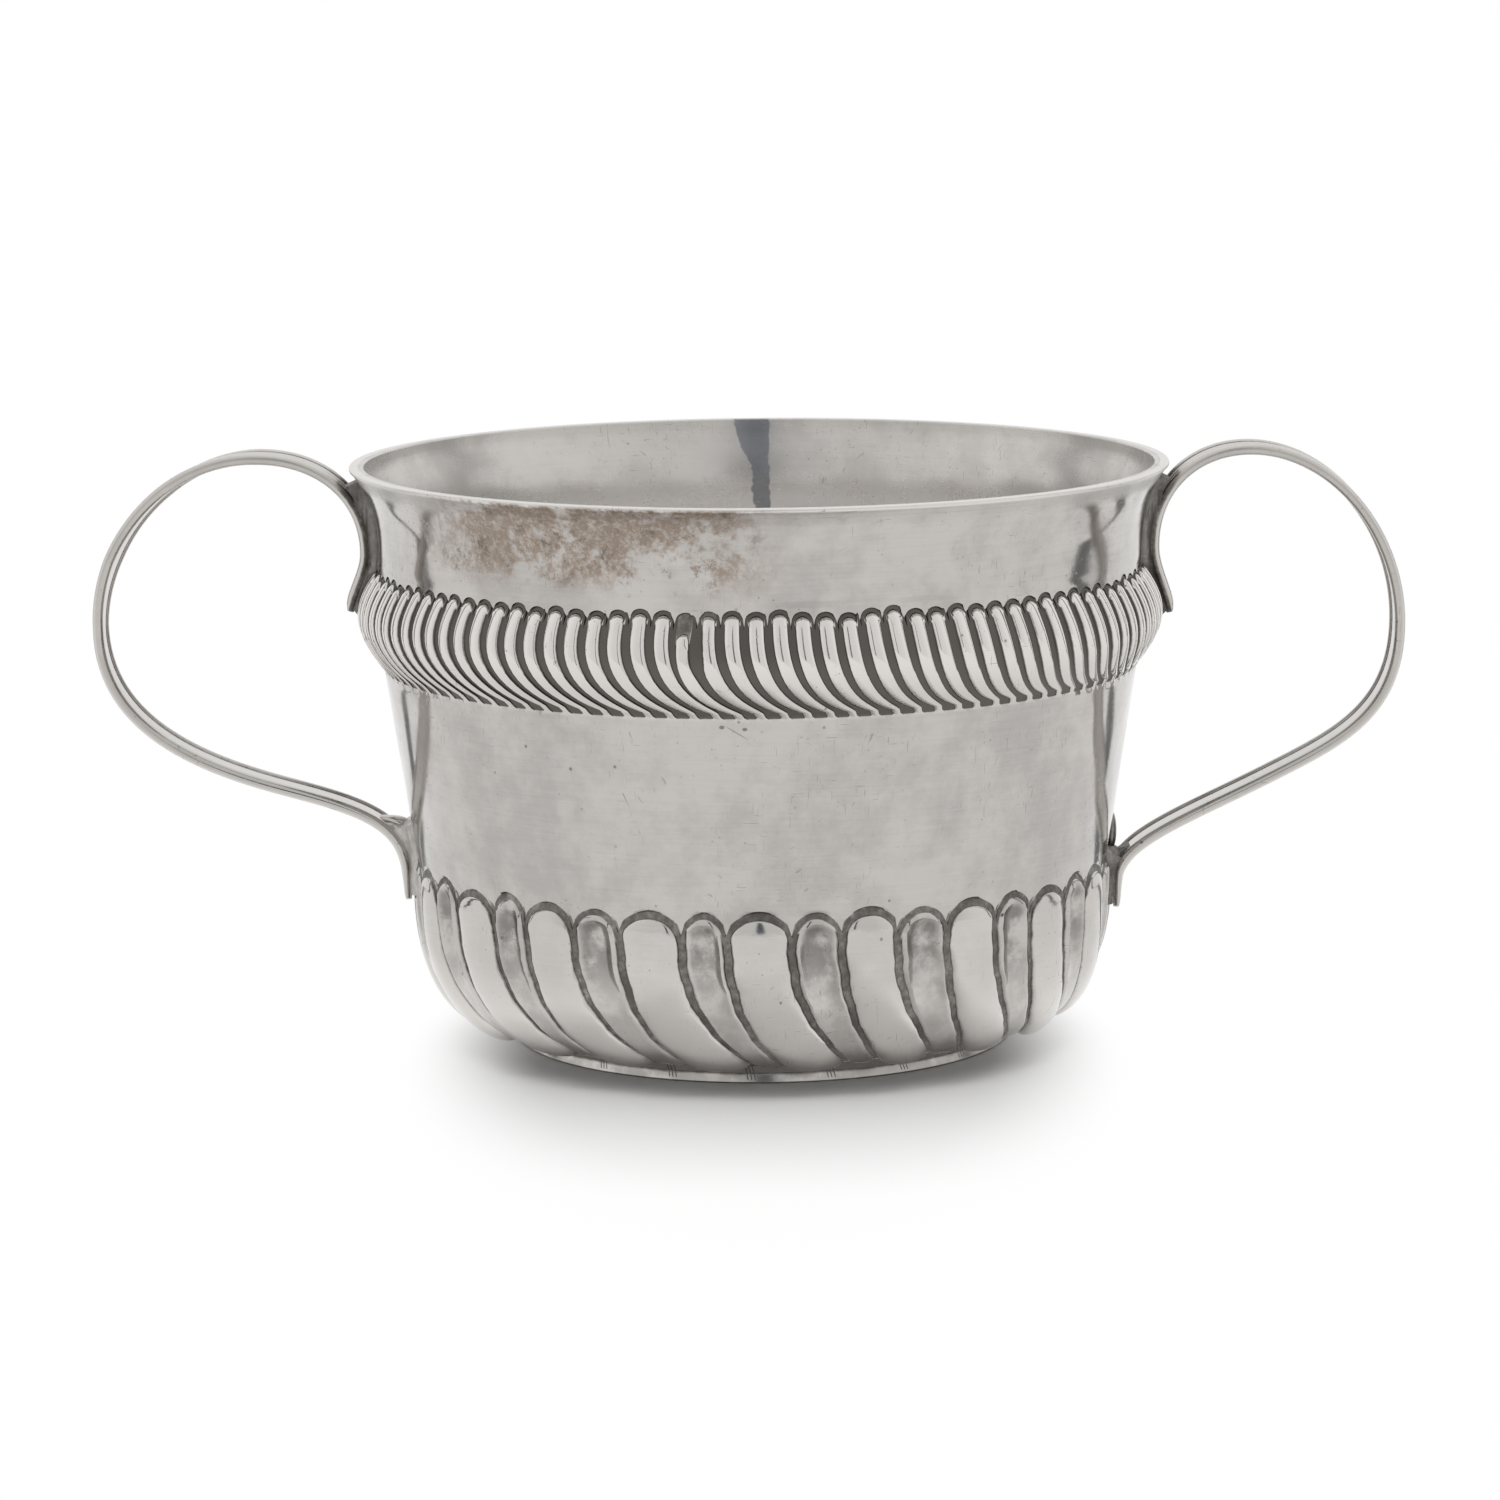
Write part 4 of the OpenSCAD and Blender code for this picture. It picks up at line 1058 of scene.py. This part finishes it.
dress(bowl, bodySilver, "body_silver", "cup_body")
dress(lipWire, bodySilver, "body_silver", "lip_wire")
dress(lipSolder, bodySilver, "body_silver", "lip_solder")
dress(footRing, bodySilver, "body_silver", "foot_ring")
dress(leftStrap, handleSilver, "handle_silver", "left_handle")
dress(rightStrap, handleSilver, "handle_silver", "right_handle")
dress(leftSpur, handleSilver, "handle_silver", "left_spur")
dress(rightSpur, handleSilver, "handle_silver", "right_spur")
for nodeName, piece in solderPieces.items():
    dress(piece, darkSolder, "solder", nodeName)
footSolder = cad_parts["foot_solder"]
footSolder.data.materials.clear()
footSolder.data.materials.append(darkSolder)
print("finishes done")

# studio: pale floor that fades to white, white surroundings with a dark gap in front and one at each side
studio = dict(
    floorSize=6.0, floorColour=(0.93, 0.93, 0.93, 1), skyDiffuse=0.42,
    lampSize=0.7, lampHeight=0.75, lampFront=0.05, lampPower=4.7,
    shadowWide=0.035, shadowFront=0.085, shadowBack=0.055, shadowMiddle=-0.012, fadeFrom=0.8, fadeTo=1.35,
    stripShift=0.06, farStrip=1.92, nearStrip=2.28, stripSplit=(0.2, 0.25), stripWide=(0.05, 0.07),
    stripDark=0.8, flankWide=(0.05, 0.085), frontWide=(0.5, 1.6), frontDark=0.14,
    gapWide=(0.06, 0.10), gapLow=(0.02, 0.08), gapTop=(0.75, 0.85), gapDark=0.86, gapTint=(0.78, 0.88, 1, 1),
)
camera = dict(place=(-1.48, -700, 153.8), pitch=9.46, roll=-0.5, lens=130.37, sensor=36)


def makeFloor():
    bpy.ops.object.select_all(action="DESELECT")
    bpy.ops.mesh.primitive_plane_add(size=studio["floorSize"])
    floor = bpy.context.object
    floor.name = "floor"
    material = bpy.data.materials.new("paleFloor")
    material.use_nodes = True
    tree = material.node_tree
    tree.nodes.clear()
    place = Wire(tree, tree.nodes.new("ShaderNodeTexCoord").outputs["Object"])
    x, y = place.axes()[:2]
    seen, glossy, through = place.rays()

    # the floor keeps the shadow close to the cup, and is plain white beyond it
    depth = y - studio["shadowMiddle"]
    depth = (depth * (-1 / studio["shadowFront"])).most(depth * (1 / studio["shadowBack"]))
    wide = x * (1 / studio["shadowWide"])
    far = x.sum("SQRT", wide * wide + depth * depth, 0)
    fade = far.step(studio["fadeFrom"], studio["fadeTo"]) * seen.most(glossy).most(through)

    # dark strips at the two sides, seen only in the silver
    side = x.sum("ARCTAN2", x, y * -1)
    reach = x.sum("SQRT", x * x + y * y, 0).step(*studio["stripSplit"])
    at = studio["nearStrip"] - reach * (studio["nearStrip"] - studio["farStrip"])
    side = (side + studio["stripShift"]).size() - at
    strip = 1 - side.size().step(*studio["stripWide"])
    pale = (strip * studio["stripDark"] * glossy).colour((1, 1, 1, 1), (0, 0, 0, 1))
    white = place.node("ShaderNodeEmission", None, {"Color": pale, "Strength": 1.0})
    matt = place.node("ShaderNodeBsdfDiffuse", None, {"Color": studio["floorColour"]})
    mixed = place.node("ShaderNodeMixShader", None, {0: fade, 1: matt, 2: white})
    output = tree.nodes.new("ShaderNodeOutputMaterial")
    tree.links.new(mixed.socket, output.inputs["Surface"])
    floor.data.materials.append(material)


def makeSky():
    world = bpy.data.worlds.new("studioSky")
    bpy.context.scene.world = world
    world.use_nodes = True
    tree = world.node_tree
    tree.nodes.clear()
    way = Wire(tree, tree.nodes.new("ShaderNodeTexCoord").outputs["Generated"])
    x, y, z = way.axes()
    turn = x.sum("ARCTAN2", x, y * -1)                        # 0 towards the camera, + to the right
    side = turn.size()
    gap = (1 - side.step(*studio["gapWide"])) * z.within(studio["gapLow"], studio["gapTop"])
    flank = (turn + studio["stripShift"]).size() - studio["farStrip"]
    flank = 1 - flank.size().step(*studio["flankWide"])
    front = (1 - side.step(*studio["frontWide"])) * studio["frontDark"]
    level = (1 - front) * (1 - gap.most(flank) * studio["gapDark"])
    seen, glossy, through = way.rays()
    strength = seen.most(through) + glossy * level
    strength = strength.most(studio["skyDiffuse"] * (1 - seen.most(glossy).most(through)))
    tint = (gap * glossy).colour((1, 1, 1, 1), studio["gapTint"])
    light = way.node("ShaderNodeBackground", None, {"Color": tint, "Strength": strength})
    output = tree.nodes.new("ShaderNodeOutputWorld")
    tree.links.new(light.socket, output.inputs["Surface"])


def makeLamp():
    lamp = bpy.data.lights.new("overheadSoftbox", "AREA")
    lamp.size = studio["lampSize"]
    lamp.energy = studio["lampPower"]
    holder = bpy.data.objects.new("overheadSoftbox", lamp)
    holder.location = (0, -studio["lampFront"], studio["lampHeight"])
    holder.visible_glossy = False
    bpy.context.scene.collection.objects.link(holder)


def makeCamera():
    view = bpy.data.cameras.new("photoCamera")
    view.lens = camera["lens"]
    view.sensor_width = camera["sensor"]
    view.clip_start = 0.01
    holder = bpy.data.objects.new("photoCamera", view)
    tilt = Matrix.Rotation(math.radians(90 - camera["pitch"]), 4, "X")
    roll = Matrix.Rotation(math.radians(camera["roll"]), 4, "Z")
    holder.matrix_world = Matrix.Translation([v * mm for v in camera["place"]]) @ (tilt @ roll)
    bpy.context.scene.collection.objects.link(holder)
    bpy.context.scene.camera = holder


makeFloor()
makeSky()
makeLamp()
makeCamera()
bpy.context.scene.view_settings.view_transform = "Standard"
print("studio done")
